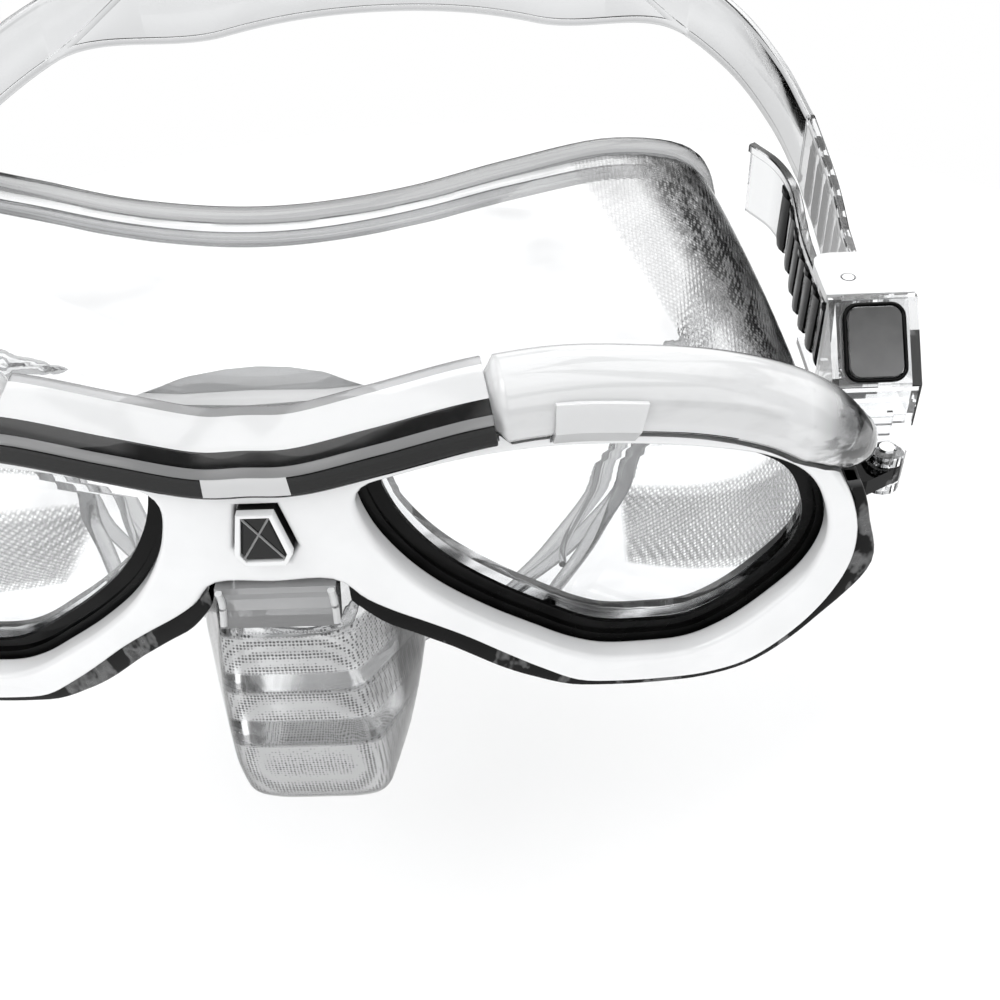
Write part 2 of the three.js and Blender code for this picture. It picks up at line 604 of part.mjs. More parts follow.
function buildBuckleBody() {
  const { inner, outer, nose, brow, rear, bottom, top, wall } = BUCKLE;
  const toe = SLOPE_TOP - (brow - nose);
  const outside = [
    [rear, bottom], [rear, top], [brow + 1.1, top], [brow + 1.1, SLOPE_TOP], [brow, SLOPE_TOP], [nose, toe],
    [nose, bottom],
  ];
  const slant = wall * Math.SQRT2;
  const crest = brow + 1.1;
  const inside = [
    [rear + 5, bottom + wall], [rear + 5, 20], [crest, 20], [crest, SLOPE_TOP + crest - brow - slant],
    [nose + wall, toe - slant + wall], [nose + wall, bottom + wall],
  ];
  const room = acrossBuckle(inside, [inner + wall, outer - wall]);
  const shell = acrossBuckle(outside, [inner, outer]).subtract(room);
  const openSide = boxSolid([inner - 2, inner + wall + 1], [brow + 0.6, rear + 5], [bottom + wall, 20]);
  const { half, long, corner } = BUTTON;
  const window = onSlope(half + GAP, long + GAP, corner + GAP, [-3, wall + 0.4]);
  const axleHole = toSolid(post(ROLLER.x, ROLLER.y, ROLLER.axle + GAP, [bottom - 2, bottom + wall + 2]));
  const pinHole = toSolid(post(PAWL.x, PAWL.y, PAWL.pin + GAP, [bottom + 0.4, bottom + wall + 2]));
  const seat = boxSolid([inner + 0.6, 83.6], [-20.6, -19.8], [bottom + 0.5, -2]);
  const upper = buildArm(LUG.z + LUG.half + GAP, toe - 0.2);
  const lower = buildArm(LUG.z - LUG.half - GAP - EAR, bottom + EAR);
  const ribHeights = [bottom + 0.6, toe - 1];
  const ribs = [-32, -35].map((y) => boxSolid([82.4, 91.2 + (y + 32)], [y, y + 1], ribHeights));
  const hole = toSolid(post(LUG.x, LUG.y, PIN_RADIUS + GAP, [-12, 6]));
  const housing = cutBy(shell, [openSide, window, axleHole, pinHole]);
  return joined([housing, seat, upper, lower, ...ribs]).subtract(hole);
}

// One of the two flat arms that narrow from the housing to the temple pin.
function buildArm(eyeBottom, rootTop) {
  const { x, y, radius } = LUG;
  const stations = [
    [BUCKLE.nose + 0.6, BUCKLE.inner + 0.6, BUCKLE.outer - 0.2, rootTop],
    [-36, 81.6, 90.6, rootTop * 0.5 + (eyeBottom + EAR) * 0.5],
    [y, x - radius, x + radius, eyeBottom + EAR],
  ];
  const plates = stations.map(([at, x0, x1, z]) => (
    [[x0, z], [x1, z], [x1, z - EAR], [x0, z - EAR]].map(([px, pz]) => new THREE.Vector3(px, at, pz))));
  return toSolid(loft(plates)).add(toSolid(post(x, y, radius, [eyeBottom, eyeBottom + EAR])));
}

function buildCover() {
  const { inner, outer, rear } = BUCKLE;
  const corner = 3;
  const plan = [[inner, COVER.front], [outer, COVER.front], [outer, rear]];
  for (let i = 0; i <= 4; i += 1) {
    const turn = (Math.PI / 2) * (i / 4);
    plan.push([inner + corner - corner * Math.sin(turn), rear - corner + corner * Math.cos(turn)]);
  }
  const hole = toSolid(post(ROLLER.x, ROLLER.y, ROLLER.axle + GAP, [COVER.bottom - 2, COVER.top + 2]));
  const pinHole = toSolid(post(PAWL.x, PAWL.y, PAWL.pin + GAP, [COVER.bottom - 2, COVER.bottom + 0.8]));
  return cutBy(toSolid(upright(plan, [COVER.bottom, COVER.top])), [hole, pinHole]);
}

// The button's face fills the window; a flange behind keeps it in and a pusher reaches the pawl.
function buildButton() {
  const { half, long, corner } = BUTTON;
  const face = onSlope(half, long, corner, [-0.6, 1.7]);
  const flange = onSlope(half + 0.8, long + 0.6, corner + 0.6, [1.6, 2.3]);
  const pusher = boxSolid([85.6, 87.6], [-27.4, -21.9], [-4.2, -1.8]);
  const springPad = boxSolid([81.7, 86], [-27.4, -26.3], [-5.4, -1.8]);
  return joined([face, flange, pusher, springPad]);
}

// A coil spring along Y behind the button.
function buildSpring() {
  const turns = 4;
  const [start, end] = [-26.3 + GAP, -20.6 - GAP];
  const [coil, wire] = [1.0, 0.2];
  const points = Array.from({ length: turns * 8 + 1 }, (_, i) => {
    const turn = (i / 8) * 2 * Math.PI;
    const y = THREE.MathUtils.lerp(start + wire, end - wire, i / (turns * 8));
    return new THREE.Vector3(82.7 + coil * Math.cos(turn), y, -4.1 + coil * Math.sin(turn));
  });
  const section = new THREE.Shape(Array.from({ length: 5 }, (_, i) => (
    new THREE.Vector2(wire * Math.cos((i / 5) * 2 * Math.PI), wire * Math.sin((i / 5) * 2 * Math.PI)))));
  const path = new THREE.CatmullRomCurve3(points);
  return new THREE.ExtrudeGeometry(section, { steps: turns * 8, extrudePath: path, bevelEnabled: false });
}

// A crank: one arm reaches in front of the roller for the button, the other bites the strap's ribs.
function buildPawl() {
  const plan = [
    [85.4, -21.6], [89, -20.8], [91.8, -16.6], [91.8, -14.6], [90, -10.6], [88.85, -9.6], [88.85, -10.9],
    [89.5, -13.6], [89.3, -16.8], [88, -19.2], [85.4, -20.4],
  ];
  const bore = toSolid(post(PAWL.x, PAWL.y, PAWL.pin + GAP / 2, [-20, 20], 12));
  return toSolid(upright(plan, [PAWL.low, PAWL.high])).subtract(bore);
}

// ---------------------------------------------------------------- strap
// A flat band that follows a route in plan and rises towards the back of the head.
function band(route, { half = STRAP.half, lift = () => 0, stations = route.length * 4 } = {}) {
  const points = route.map(([x, y]) => new THREE.Vector3(x, y, 0));
  const curve = new THREE.CatmullRomCurve3(points, false, 'centripetal');
  const rings = Array.from({ length: stations + 1 }, (_, i) => {
    const centre = curve.getPointAt(i / stations);
    const along = curve.getTangentAt(i / stations);
    const out = new THREE.Vector3(along.y, -along.x, 0).multiplyScalar(STRAP.thick / 2);
    const z = strapRise(centre.y) + lift(i / stations);
    return [[1, -1], [1, 1], [-1, 1], [-1, -1]].map(([side, level]) => (
      centre.clone().addScaledVector(out, side).setZ(z + level * half)));
  });
  return loft(rings);
}

function strapRise(y) {
  const start = 5;
  return 0.17 * Math.max(0, y - start);
}

const STRAP_SPLIT = 38; // the side run ends here and the rear strap begins
const TAIL = [[76.6, 30], [80.2, 24.5], [82, 17.5], [81.9, 8], [81.5, 1], [81.4, -5], [81.5, -10]];
const SIDE_RUN = [[87.75, -5.6], [88.5, 5], [89.1, 18], [88.6, STRAP_SPLIT - GAP]];
const REAR_HALF = [[88.6, STRAP_SPLIT], [86.2, 56], [80, 78], [68, 99], [50, 116], [26, 127.5], [0, 131]];

function buildStrapEnd() {
  const turn = (STRAP.thick / 2) + ROLLER.radius + GAP;
  const wrapRound = Array.from({ length: 9 }, (_, i) => {
    const angle = Math.PI + (Math.PI * i) / 8;
    return [ROLLER.x + turn * Math.cos(angle), ROLLER.y + turn * Math.sin(angle)];
  });
  return band([...TAIL, ...wrapRound, [87.7, -10], [87.72, -6]], { stations: 40 });
}

// The rear strap splits into two bands behind the crown.
function buildStrapRear() {
  const route = [...REAR_HALF, ...REAR_HALF.slice(0, -1).reverse().map(([x, y]) => [-x, y])];
  const spread = 11;
  const part = (side) => (share) => {
    const middle = THREE.MathUtils.smoothstep(0.5 - Math.abs(share - 0.5), 0.2, 0.36);
    return side * spread * middle;
  };
  return toSolid(band(route, { lift: part(1), stations: 40 }))
    .add(toSolid(band(route, { lift: part(-1), stations: 40 })));
}

// ---------------------------------------------------------------- assembly
const mask = new THREE.Group();
mask.name = 'diving_mask';

function place(name, shape, material) {
  const solid = shape.isBufferGeometry ? toSolid(shape) : shape;
  const geometry = toGeometry(toSolid(snapped(toGeometry(solid.simplify(FINENESS)))));
  const mesh = new THREE.Mesh(geometry, material);
  mesh.name = name;
  mask.add(mesh);
}

// Puts a piece drawn on the left at both sides.
function placePair(name, shape, material) {
  const geometry = shape.isBufferGeometry ? shape : toGeometry(shape);
  place(`${name}_left`, geometry, material.clone());
  place(`${name}_right`, mirrored(geometry), material.clone());
}

const clearance = railClearance();
const skirt = skirtStretches();
place('skirt_front', skirt.front, SILICONE.clone());
place('skirt_nose_pocket', skirt.nose, SILICONE.clone());
place('skirt_brow', skirt.brow, SILICONE.clone());
placePair('skirt_temple', skirt.temple, SILICONE);
placePair('skirt_cheek', skirt.cheek, SILICONE);
place('frame_chassis', buildChassis(clearance), CLEAR_PLASTIC.clone());
place('front_bezel', buildBezel(clearance), WHITE_PLASTIC.clone());
place('brow_rail', buildRail(), CLEAR_PLASTIC.clone());
place('brow_centre_cap', buildCap(), CLEAR_PLASTIC.clone());
place('bridge_latch', buildLatch(), CLEAR_PLASTIC.clone());
place('bridge_tongue', buildTongue(), CLEAR_PLASTIC.clone());
placePair('rail_clip', buildClip(), CLEAR_PLASTIC);
placePair('lens', buildLens(), GLASS);
placePair('lens_gasket', buildGasket([]), BLACK_RUBBER);

placePair('buckle_body', buildBuckleBody(), CLEAR_PLASTIC);
placePair('buckle_cover', buildCover(), CLEAR_PLASTIC);
placePair('release_button', buildButton(), GREY_PLASTIC);
placePair('button_spring', buildSpring(), STEEL);
placePair('locking_pawl', buildPawl(), GREY_PLASTIC);
placePair('pawl_pin', post(PAWL.x, PAWL.y, PAWL.pin, [BUCKLE.bottom + 0.7, COVER.bottom + 0.5], 12), STEEL);
placePair('strap_roller', toSolid(post(ROLLER.x, ROLLER.y, ROLLER.radius, [-ROLLER.half, ROLLER.half]))
  .subtract(toSolid(post(ROLLER.x, ROLLER.y, ROLLER.axle + GAP / 2, [-20, 20]))), CLEAR_PLASTIC);
placePair('roller_axle', post(ROLLER.x, ROLLER.y, ROLLER.axle, [BUCKLE.bottom, COVER.top], 16), STEEL);
placePair('swivel_pin', post(LUG.x, LUG.y, PIN_RADIUS, [LUG.z - 3.5, LUG.z + 3.5]), STEEL);

placePair('strap_end', buildStrapEnd(), SILICONE);
placePair('strap_side', band(SIDE_RUN, { stations: 14 }), SILICONE);
place('strap_rear', buildStrapRear(), SILICONE.clone());

export default mask;
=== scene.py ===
import math

import bmesh
import bpy
import numpy as np
from mathutils import Matrix, Vector


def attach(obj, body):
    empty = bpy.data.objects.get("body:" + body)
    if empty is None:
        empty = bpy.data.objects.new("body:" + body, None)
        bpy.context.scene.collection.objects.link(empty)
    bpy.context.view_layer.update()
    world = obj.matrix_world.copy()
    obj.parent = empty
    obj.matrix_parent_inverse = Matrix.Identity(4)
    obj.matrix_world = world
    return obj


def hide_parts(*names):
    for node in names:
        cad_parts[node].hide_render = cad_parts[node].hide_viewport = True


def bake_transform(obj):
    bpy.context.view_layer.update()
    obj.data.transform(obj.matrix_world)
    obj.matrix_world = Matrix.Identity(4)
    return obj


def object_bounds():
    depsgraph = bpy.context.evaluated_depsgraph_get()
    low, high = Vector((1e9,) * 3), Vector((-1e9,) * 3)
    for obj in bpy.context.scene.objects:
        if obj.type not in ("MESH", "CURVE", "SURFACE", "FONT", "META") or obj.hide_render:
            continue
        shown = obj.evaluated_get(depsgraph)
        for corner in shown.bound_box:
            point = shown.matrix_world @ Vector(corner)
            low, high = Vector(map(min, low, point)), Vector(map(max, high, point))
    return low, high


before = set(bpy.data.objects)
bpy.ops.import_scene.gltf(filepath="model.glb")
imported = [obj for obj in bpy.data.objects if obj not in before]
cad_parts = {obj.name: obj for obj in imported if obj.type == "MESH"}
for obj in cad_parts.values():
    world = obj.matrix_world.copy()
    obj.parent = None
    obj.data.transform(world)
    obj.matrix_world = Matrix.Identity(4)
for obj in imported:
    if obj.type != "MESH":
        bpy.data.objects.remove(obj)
cad_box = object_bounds()

# Lengths below are in millimetres, in the row frame: the face-seal plane is y = 0 and +Z is up.
# The left half, at +X, is drawn, and the right half mirrors it.
MM = 0.001
SIDES = (("left", 1), ("right", -1))

# ---------------- driving dimensions
GAP = 0.3
FAR = 95
BRIDGE_HALF = 10.0
WRAP_SLOPE = math.tan(math.radians(9))

BEZEL = dict(front=-64.1, back=-60.2, bevel=0.9)
LENS = dict(front=-58.4, thickness=3.2, inset=1.0)
GASKET = dict(front=-59.9, lip=1.2, inside=2.8, outside=1.4, back=-54.8, step=0.9, step_depth=0.55)
FLANGE = dict(front=-54.5, back=-52.3, inside=2.2)
CHASSIS = dict(rim=-62.95, back=-54.8, margin=1.82, nose_margin=1.5, bridge=9.5, top=0.5)
FLARE = dict(height=2.0, middle=-17.0, span=10.5, beyond=70)
LATCH_FRAME = dict(front=-65.6, back=-64.3, outside=0.05, inside=-0.7, room=0.45)
# The latch's crossed ridges, light bars as a painted highlight: y, inset and radius.
RIDGE = dict(y=-65.4, inset=-0.8, radius=0.16)
RAIL_Y = -61.2
RAIL = dict(half=79.5, taper_from=72, taper_over=8, round_from=78.6, round_over=0.9, thinned=0.35,
            swept_from=76, swept=0.9)
CAP_HALF = 29.6
CLIP_SPAN = (36.8, 47.8)
SKIRT_WALL, LIP_WALL, NOSE_WALL = 2.2, 1.3, 1.7
SKIRT_BULGE = 2.4
REMESH_VOXEL, REMESH_ROUNDS = 0.8, 10
ROLLER = dict(x=84.6, y=-13.6, radius=2.0)
STRAP_HALF, STRAP_THICK = 6.8, 1.6
STRAP_SPLIT = 38.0
STRAP_LEVEL_TO, STRAP_CLIMB = 5, 0.17
TAB_LENGTH = 9.0
REAR_SPREAD = 11.0
RIB = dict(pitch=5.8, offset=0.4, length=3.9, inset=0.6, base=0.1, low_top=0.85, high_top=1.15)
BUTTON = dict(x=86.9, y=-24.75, z=3.95, half=3.95, long=5.3)
BUTTON_FRAME = dict(margin=0.5, corner=2.0, radius=0.34, lift=0.1)
SPRING = dict(x=82.7, z=-4.1, front=-25.8, back=-21.1, wire=0.2, turns=4)

# Outlines in the front view, as (x, z): the left lens opening, and halves that the right side mirrors.
LENS_OPENING = [
    (12.4, 9.6), (13.4, 4.0), (16.4, -2.6), (21, -9.2), (27.5, -15.7), (34, -21), (39.5, -25.1),
    (44, -27.3), (50, -28.4), (57, -28.7), (62.5, -26.5), (68.5, -21.6), (73.5, -15.6), (75.4, -9),
    (74.3, -2.5), (71.3, 3.2), (65.6, 7.4), (57, 10.4), (47.5, 12.6), (37, 14.0), (26.5, 13.9),
    (17.5, 12.6), (13.6, 11.6)]
BEZEL_HALF = [
    (0, -3.9), (8.2, -4.0), (11.5, -8.0), (15, -11.2), (19.5, -14.6), (24.5, -18.6), (30, -23.6),
    (35, -27.9), (40.5, -31.9), (46, -33.4), (53, -34.4), (60, -34.7), (66.5, -33.2), (72.8, -28.2),
    (77.2, -22.2), (79.8, -15.5), (80.1, -9.5), (78.5, -3), (75.5, 2.8), (70, 9), (62, 13.8),
    (52, 17.4), (40, 19), (26, 18.6), (14, 16.6), (6, 15.4), (0, 15.4)]
RAIL_HALF = [
    (0, 16.6), (5.5, 16.6), (16, 18.6), (28, 20.6), (38, 21), (48, 19.6), (58, 17.3), (67, 13.6),
    (73, 9.6), (77, 6), (79.6, 3)]
# Sections of the rail and its cap, and the room the bezel leaves, as (forward, up) from RAIL_HALF.
RAIL_SECTION = [
    (4.3, -3.0), (3.3, -4.6), (-0.7, -4.6), (-4.0, -1.4), (-4.0, 3.0), (-2.4, 4.6), (1.6, 3.9),
    (4.3, 0.9)]
CORE_SECTION = [
    (2.9, -2.0), (2.2, -3.1), (-0.5, -3.1), (-2.8, -1.0), (-2.8, 2.0), (-1.7, 2.8), (1.2, 1.6),
    (2.8, 0.1)]
CAP_SECTION = [
    (4.4, -4.0), (4.9, -3.3), (4.9, -0.4), (4.2, 0.7), (2.7, 2.1), (-1.9, 3.9), (-3.5, 4.2),
    (-3.5, 3.6), (-1.9, 3.25), (1.5, 1.95), (3.35, 0.35), (3.4, -2.4), (2.6, -3.55), (1.6, -3.55),
    (1.6, -4.0)]
CAP_ROOM = [(5.4, -4.5), (5.4, 1), (-1.9, 4.4), (-3.9, 4.6), (-3.9, 2.6), (0.2, -4.5)]
CLIP_ROOM = [(5.8, 0.8), (5.8, -3.5), (4.2, -6), (-0.9, -6), (-0.9, -4), (0, 0.8)]
LATCH_HALF = [(2.3, 9.6), (3.7, 2.8), (2.6, 0.9)]
TONGUE_RIB = [(7.5, -64.9, -4.6), (7.5, -64.5, -6.5), (7.6, -64.8, -8.4), (7.7, -65.7, -10.1)]
TONGUE_RIB_RADIUS = 0.5
# The skirt's front edge as (x, z), and the point of the face seal, (x, y, z), that each one leads to.
SKIRT_FRONT = [
    (0, 20.2), (10, 20.8), (22, 22.4), (36, 23), (50, 20.6), (61, 15), (70, 7.6), (76.4, -1.6),
    (79.4, -11), (78, -20), (71, -29), (60, -33.6), (48, -32.6), (38, -28.6), (29, -21.8),
    (21, -16.2), (12, -11), (0, -9.5)]
SKIRT_SEAL = [
    (0, -30, 31), (9, -29.6, 31.3), (20, -28, 32.2), (33, -24, 33.4), (48, -17, 32.6), (59.5, -10, 27),
    (64, -4, 17), (65.4, -1, 6), (65, 0, -5), (63, -0.5, -15), (58, -4, -24), (51, -9, -32),
    (43, -14, -38), (35, -19, -42.5), (27, -24, -46.5), (19, -28.5, -50), (10, -32, -52.6),
    (0, -33.5, -53.5)]
# The nose pocket, level by level: z, front y and half width there, side y and half width there.
NOSE_LEVELS = [
    (-10.8, -63.5, 8, -57.5, 9.2), (-11.8, -65.2, 9.3, -57.5, 10.6), (-17, -66.6, 10, -54, 13.4),
    (-24, -67.5, 10.6, -51, 16.2), (-32, -68.1, 11.2, -50, 17), (-40, -68.3, 11.6, -52, 15.4),
    (-47, -67.7, 11.2, -55, 13.4), (-50.6, -65.8, 9.6, -57, 11), (-52.3, -62.4, 6.4, -56.5, 7.2)]
NOSE_BACK = -33.2
# The beads of the face-seal lip: share of the way to the seal, inset and radius.
LIP_BEADS = [(1.03, 0.4, 1.5), (0.90, 2.0, 1.0)]
# Raised seams on the inside of the left cheek, as centre lines and radius.
SEAMS = [
    ([(58.0, -7, -23.6), (51.0, -14, -30.0), (44.9, -20.5, -33.9), (40.5, -27, -35.3), (38.0, -33, -34.2),
      (36.9, -38, -32.2)], 1.1),
    ([(53.0, -6, -26.6), (47.4, -11.5, -31.0), (42.6, -16.8, -34.3), (39.9, -21.0, -35.6),
      (39.6, -25.0, -35.6)], 0.6)]
# The strap's route in plan, as (x, y): tail to roller, roller to temple, temple to back of the head.
TAIL = [(76.6, 30), (80.2, 24.5), (82, 17.5), (81.9, 8), (81.5, 1), (81.4, -5), (81.5, -10)]
SIDE_RUN = [(87.75, -5.6), (88.5, 5), (89.1, 18), (88.6, STRAP_SPLIT)]
REAR_HALF = [(88.6, STRAP_SPLIT), (86.2, 56), (80, 78), (68, 99), (50, 116), (26, 127.5), (0, 131)]

# The cap's finish on the first edges of its section, and where its flat middle differs. On this one clear
# piece the dark and light finishes are painted shade and painted highlights.
CAP_FINISHES = ["clear", "milky", "smoke", "haze", "rubber"]
CAP_PAINTED_BANDS = dict(enumerate(["rubber", "smoke", "haze", "smoke", "milky", "haze"]))
CAP_PAINTED_MIDDLE = {**CAP_PAINTED_BANDS, 1: "milky"}
CAP_FLAT = 5.6

# Distances from the middle over which the rail turns from white to clear, and dark streaks are painted on
# as painted reflections.
RAIL_CLEAR = {"from": 70, "streaked": 75, "to": 76}
# Heights over which the chassis turns from the painted shade of its dark rim to light, and the shelf at
# the bridge turns milky.
CHASSIS_LIGHT = (-1, 9)
SHELF_MILKY = (12, 16)
# Stippled zones of the silicone, and its zones of painted shade and painted reflection, as limits in
# millimetres along the directions the shader works out.
STIPPLE_SCALE = 1900
NOSE_HALF = 18
NOSE_DEPTHS = (-75, -49)
NOSE_BANDS = ((-18.6, -12.2), (-28.2, -22.6), (-54, -34.0))
# Heights of the painted shade along the bottom of the nose pocket.
NOSE_FLOOR = (-52.8, -50.6)
TEMPLE_SLOPE, TEMPLE_FROM, TEMPLE_DARKER = 0.59, (28.2, 28.8), (36, 42)
CHEEK_SLOPE, CHEEK_MIDDLE, CHEEK_BANDS = 0.55, 60, ((-13.5, -6), (-30, -18.5))
# Depths of the painted reflections on the wall beside each lens.
LEDGE_DEPTHS = (-60, -46.5)


# ---------------- curves
def unit(rows):
    return rows / np.linalg.norm(rows, axis=1)[:, None]


def lengths(path):
    """How far along a path each of its points is."""
    return np.concatenate([[0], np.cumsum(np.linalg.norm(np.diff(path, axis=0), axis=1))])


def spline(points, count, closed=False, even=True, steps=24):
    """A centripetal Catmull-Rom curve through the points, sampled count times."""
    pts = np.array(points, float)
    if closed:
        wide = np.concatenate([pts[-1:], pts, pts[:2]])
    else:
        wide = np.concatenate([[2 * pts[0] - pts[1]], pts, [2 * pts[-1] - pts[-2]]])
    out = []
    for p0, p1, p2, p3 in zip(wide, wide[1:], wide[2:], wide[3:]):
        d0, d1, d2 = (max(np.linalg.norm(b - a) ** 0.5, 1e-6) for a, b in ((p0, p1), (p1, p2), (p2, p3)))
        m1 = (p2 - p1) / d1 - (p2 - p0) / (d0 + d1) + (p1 - p0) / d0
        m2 = (p3 - p2) / d2 - (p3 - p1) / (d1 + d2) + (p2 - p1) / d1
        m1, m2 = m1 * d1, m2 * d1
        t = np.arange(steps)[:, None] / steps
        out.append((2 * t**3 - 3 * t**2 + 1) * p1 + (t**3 - 2 * t**2 + t) * m1
                   + (-2 * t**3 + 3 * t**2) * p2 + (t**3 - t**2) * m2)
    path = np.concatenate(out + [pts[:1] if closed else pts[-1:]])
    knots = lengths(path) if even else np.arange(len(path), dtype=float)
    want = np.linspace(0, knots[-1], count + 1 if closed else count)
    if closed:
        want = want[:-1]
    return np.stack([np.interp(want, knots, path[:, k]) for k in range(path.shape[1])], 1)


def wrap(x):
    """How far the front has swept back at x, with a soft start at the bridge."""
    away = np.maximum(0, np.abs(x) - BRIDGE_HALF + 2)
    return WRAP_SLOPE * np.where(away < 4, away**2 / 8, away - 2)


def whole(half):
    """A closed outline from a half that starts and ends on the middle line."""
    return list(half) + [(-p[0], *p[1:]) for p in reversed(half[1:-1])]


def smoothstep(value, low, high):
    t = np.clip((value - low) / (high - low), 0, 1)
    return t * t * (3 - 2 * t)


def grown(outline, distance):
    """Moves a closed 2-D outline along its own normals."""
    outline = np.array(outline, float)
    after, before = np.roll(outline, -1, 0), np.roll(outline, 1, 0)
    area = np.sum(outline[:, 0] * after[:, 1] - after[:, 0] * outline[:, 1])
    along = unit(after - before)
    return outline + np.stack([along[:, 1], -along[:, 0]], 1) * distance * np.sign(area)


# ---------------- meshes
def add_object(name, data):
    obj = bpy.data.objects.new(name, data)
    bpy.context.scene.collection.objects.link(obj)
    return obj


def build(name, verts, faces, sharp=35):
    """A mesh object from points in millimetres. Edges bent by more than sharp degrees stay sharp."""
    mesh = bpy.data.meshes.new(name)
    mesh.from_pydata([tuple(float(c) * MM for c in v) for v in verts], [], [tuple(f) for f in faces])
    bm = bmesh.new()
    bm.from_mesh(mesh)
    bmesh.ops.recalc_face_normals(bm, faces=bm.faces)
    bm.to_mesh(mesh)
    bm.free()
    obj = add_object(name, mesh)
    smooth(obj, sharp)
    return obj


def smooth(obj, sharp=35):
    mesh = obj.data
    mesh.polygons.foreach_set("use_smooth", [True] * len(mesh.polygons))
    mesh.set_sharp_from_angle(angle=math.radians(sharp))


def loft(rings, lids=True, loop=False):
    """Vertices and faces of a skin over equal rings of points, with lids or joined into a loop."""
    rings = [np.array(r, float) for r in rings]
    n = len(rings[0])
    verts = np.concatenate(rings)
    faces = []
    spans = len(rings) if loop else len(rings) - 1
    for i in range(spans):
        k = (i + 1) % len(rings)
        for j in range(n):
            m = (j + 1) % n
            faces.append((i * n + j, i * n + m, k * n + m, k * n + j))
    if lids and not loop:
        faces.append(tuple(range(n))[::-1])
        faces.append(tuple((len(rings) - 1) * n + j for j in range(n)))
    return verts, faces


def tube(path, radius, sides, closed=False):
    """A round tube along a path of points."""
    path = np.array(path, float)
    if closed:
        along = np.roll(path, -1, 0) - np.roll(path, 1, 0)
    else:
        along = np.gradient(path, axis=0)
    along = unit(along)
    side = np.cross(along, (0, 0, 1))
    weak = np.linalg.norm(side, axis=1) < 0.2
    side[weak] = np.cross(along[weak], (0, 1, 0))
    side = unit(side)
    rise = np.cross(side, along)
    turns = np.linspace(0, 2 * math.pi, sides, endpoint=False)
    rings = [[c + s * math.cos(t) * radius + r * math.sin(t) * radius for t in turns]
             for c, s, r in zip(path, side, rise)]
    return loft(rings, loop=closed)


def add_modifier(obj, kind, **settings):
    modifier = obj.modifiers.new(kind.lower(), kind)
    for key, value in settings.items():
        setattr(modifier, key, value)


def add_bevel(obj, width, segments, sharp):
    """Rounds the edges that are bent by more than sharp degrees."""
    add_modifier(obj, "BEVEL", width=width * MM, segments=segments, limit_method="ANGLE",
                 angle_limit=math.radians(sharp))


def apply_modifiers(obj):
    bpy.context.view_layer.update()
    graph = bpy.context.evaluated_depsgraph_get()
    mesh = bpy.data.meshes.new_from_object(obj.evaluated_get(graph))
    obj.modifiers.clear()
    old = obj.data
    obj.data = mesh
    bpy.data.meshes.remove(old)


def discard(obj):
    mesh = obj.data
    bpy.data.objects.remove(obj)
    bpy.data.meshes.remove(mesh)


def merge(obj, other, material_index=0):
    """Adds the other object's faces to this one as they are, and removes the other."""
    bm = bmesh.new()
    bm.from_mesh(obj.data)
    before = len(bm.faces)
    bm.from_mesh(other.data)
    bm.faces.ensure_lookup_table()
    for face in bm.faces[before:]:
        face.material_index = material_index
    bm.to_mesh(obj.data)
    bm.free()
    discard(other)


def boolean(obj, other, operation="DIFFERENCE"):
    """Cuts the other object out of this one, or joins it on, and removes the other."""
    add_modifier(obj, "BOOLEAN", object=other, operation=operation, solver="MANIFOLD")
    apply_modifiers(obj)
    discard(other)


def remesh(obj):
    add_modifier(obj, "REMESH", mode="VOXEL", voxel_size=REMESH_VOXEL * MM, use_smooth_shade=True)
    add_modifier(obj, "SMOOTH", factor=0.5, iterations=REMESH_ROUNDS)
    apply_modifiers(obj)


# Where a swept-back plate is cut across, so that it can bend at the bridge.
BEND_CUTS = [x for x in range(-14, 15) if abs(x) > 6]


def plate(name, outline, holes, front, back, bevel=0.0, sheared=True):
    """A flat outline drawn on the front, with rounded edges, swept back with the front."""
    curve = bpy.data.curves.new(name, "CURVE")
    curve.dimensions = "2D"
    curve.fill_mode = "BOTH"
    curve.extrude = (back - front) / 2 * MM - bevel * MM
    curve.bevel_depth = bevel * MM
    curve.bevel_resolution = 4
    curve.offset = -bevel * MM
    for points in [outline, *holes]:
        line = curve.splines.new("POLY")
        line.points.add(len(points) - 1)
        for target, p in zip(line.points, points):
            target.co = (p[0] * MM, p[1] * MM, 0, 1)
        line.use_cyclic_u = True
    holder = add_object(name + "_outline", curve)
    bpy.context.view_layer.update()
    mesh = bpy.data.meshes.new_from_object(holder.evaluated_get(bpy.context.evaluated_depsgraph_get()))
    bpy.data.objects.remove(holder)
    bm = bmesh.new()
    bm.from_mesh(mesh)
    bmesh.ops.remove_doubles(bm, verts=bm.verts, dist=1e-6)
    for x in BEND_CUTS if sheared else []:
        geometry = bm.verts[:] + bm.edges[:] + bm.faces[:]
        bmesh.ops.bisect_plane(bm, geom=geometry, plane_co=(x * MM, 0, 0), plane_no=(1, 0, 0), dist=1e-7)
    middle = (front + back) / 2
    for v in bm.verts:
        x, z, depth = v.co
        v.co = (x, (middle + (wrap(x / MM) if sheared else 0)) * MM + depth, z)
    if bm.calc_volume(signed=True) < 0:
        bmesh.ops.reverse_faces(bm, faces=bm.faces)
    bm.to_mesh(mesh)
    bm.free()
    obj = add_object(name, mesh)
    smooth(obj, 40)
    return obj


def dress(obj, finish, replaces=(), body="mask"):
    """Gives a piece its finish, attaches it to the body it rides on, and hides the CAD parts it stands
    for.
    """
    obj.data.materials.clear()
    obj.data.materials.append(MATERIALS[finish])
    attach(obj, body)
    if replaces:
        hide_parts(*replaces)


# ---------------- materials
PLASTIC_IOR, SILICONE_IOR, GLASS_IOR = 1.49, 1.41, 1.5


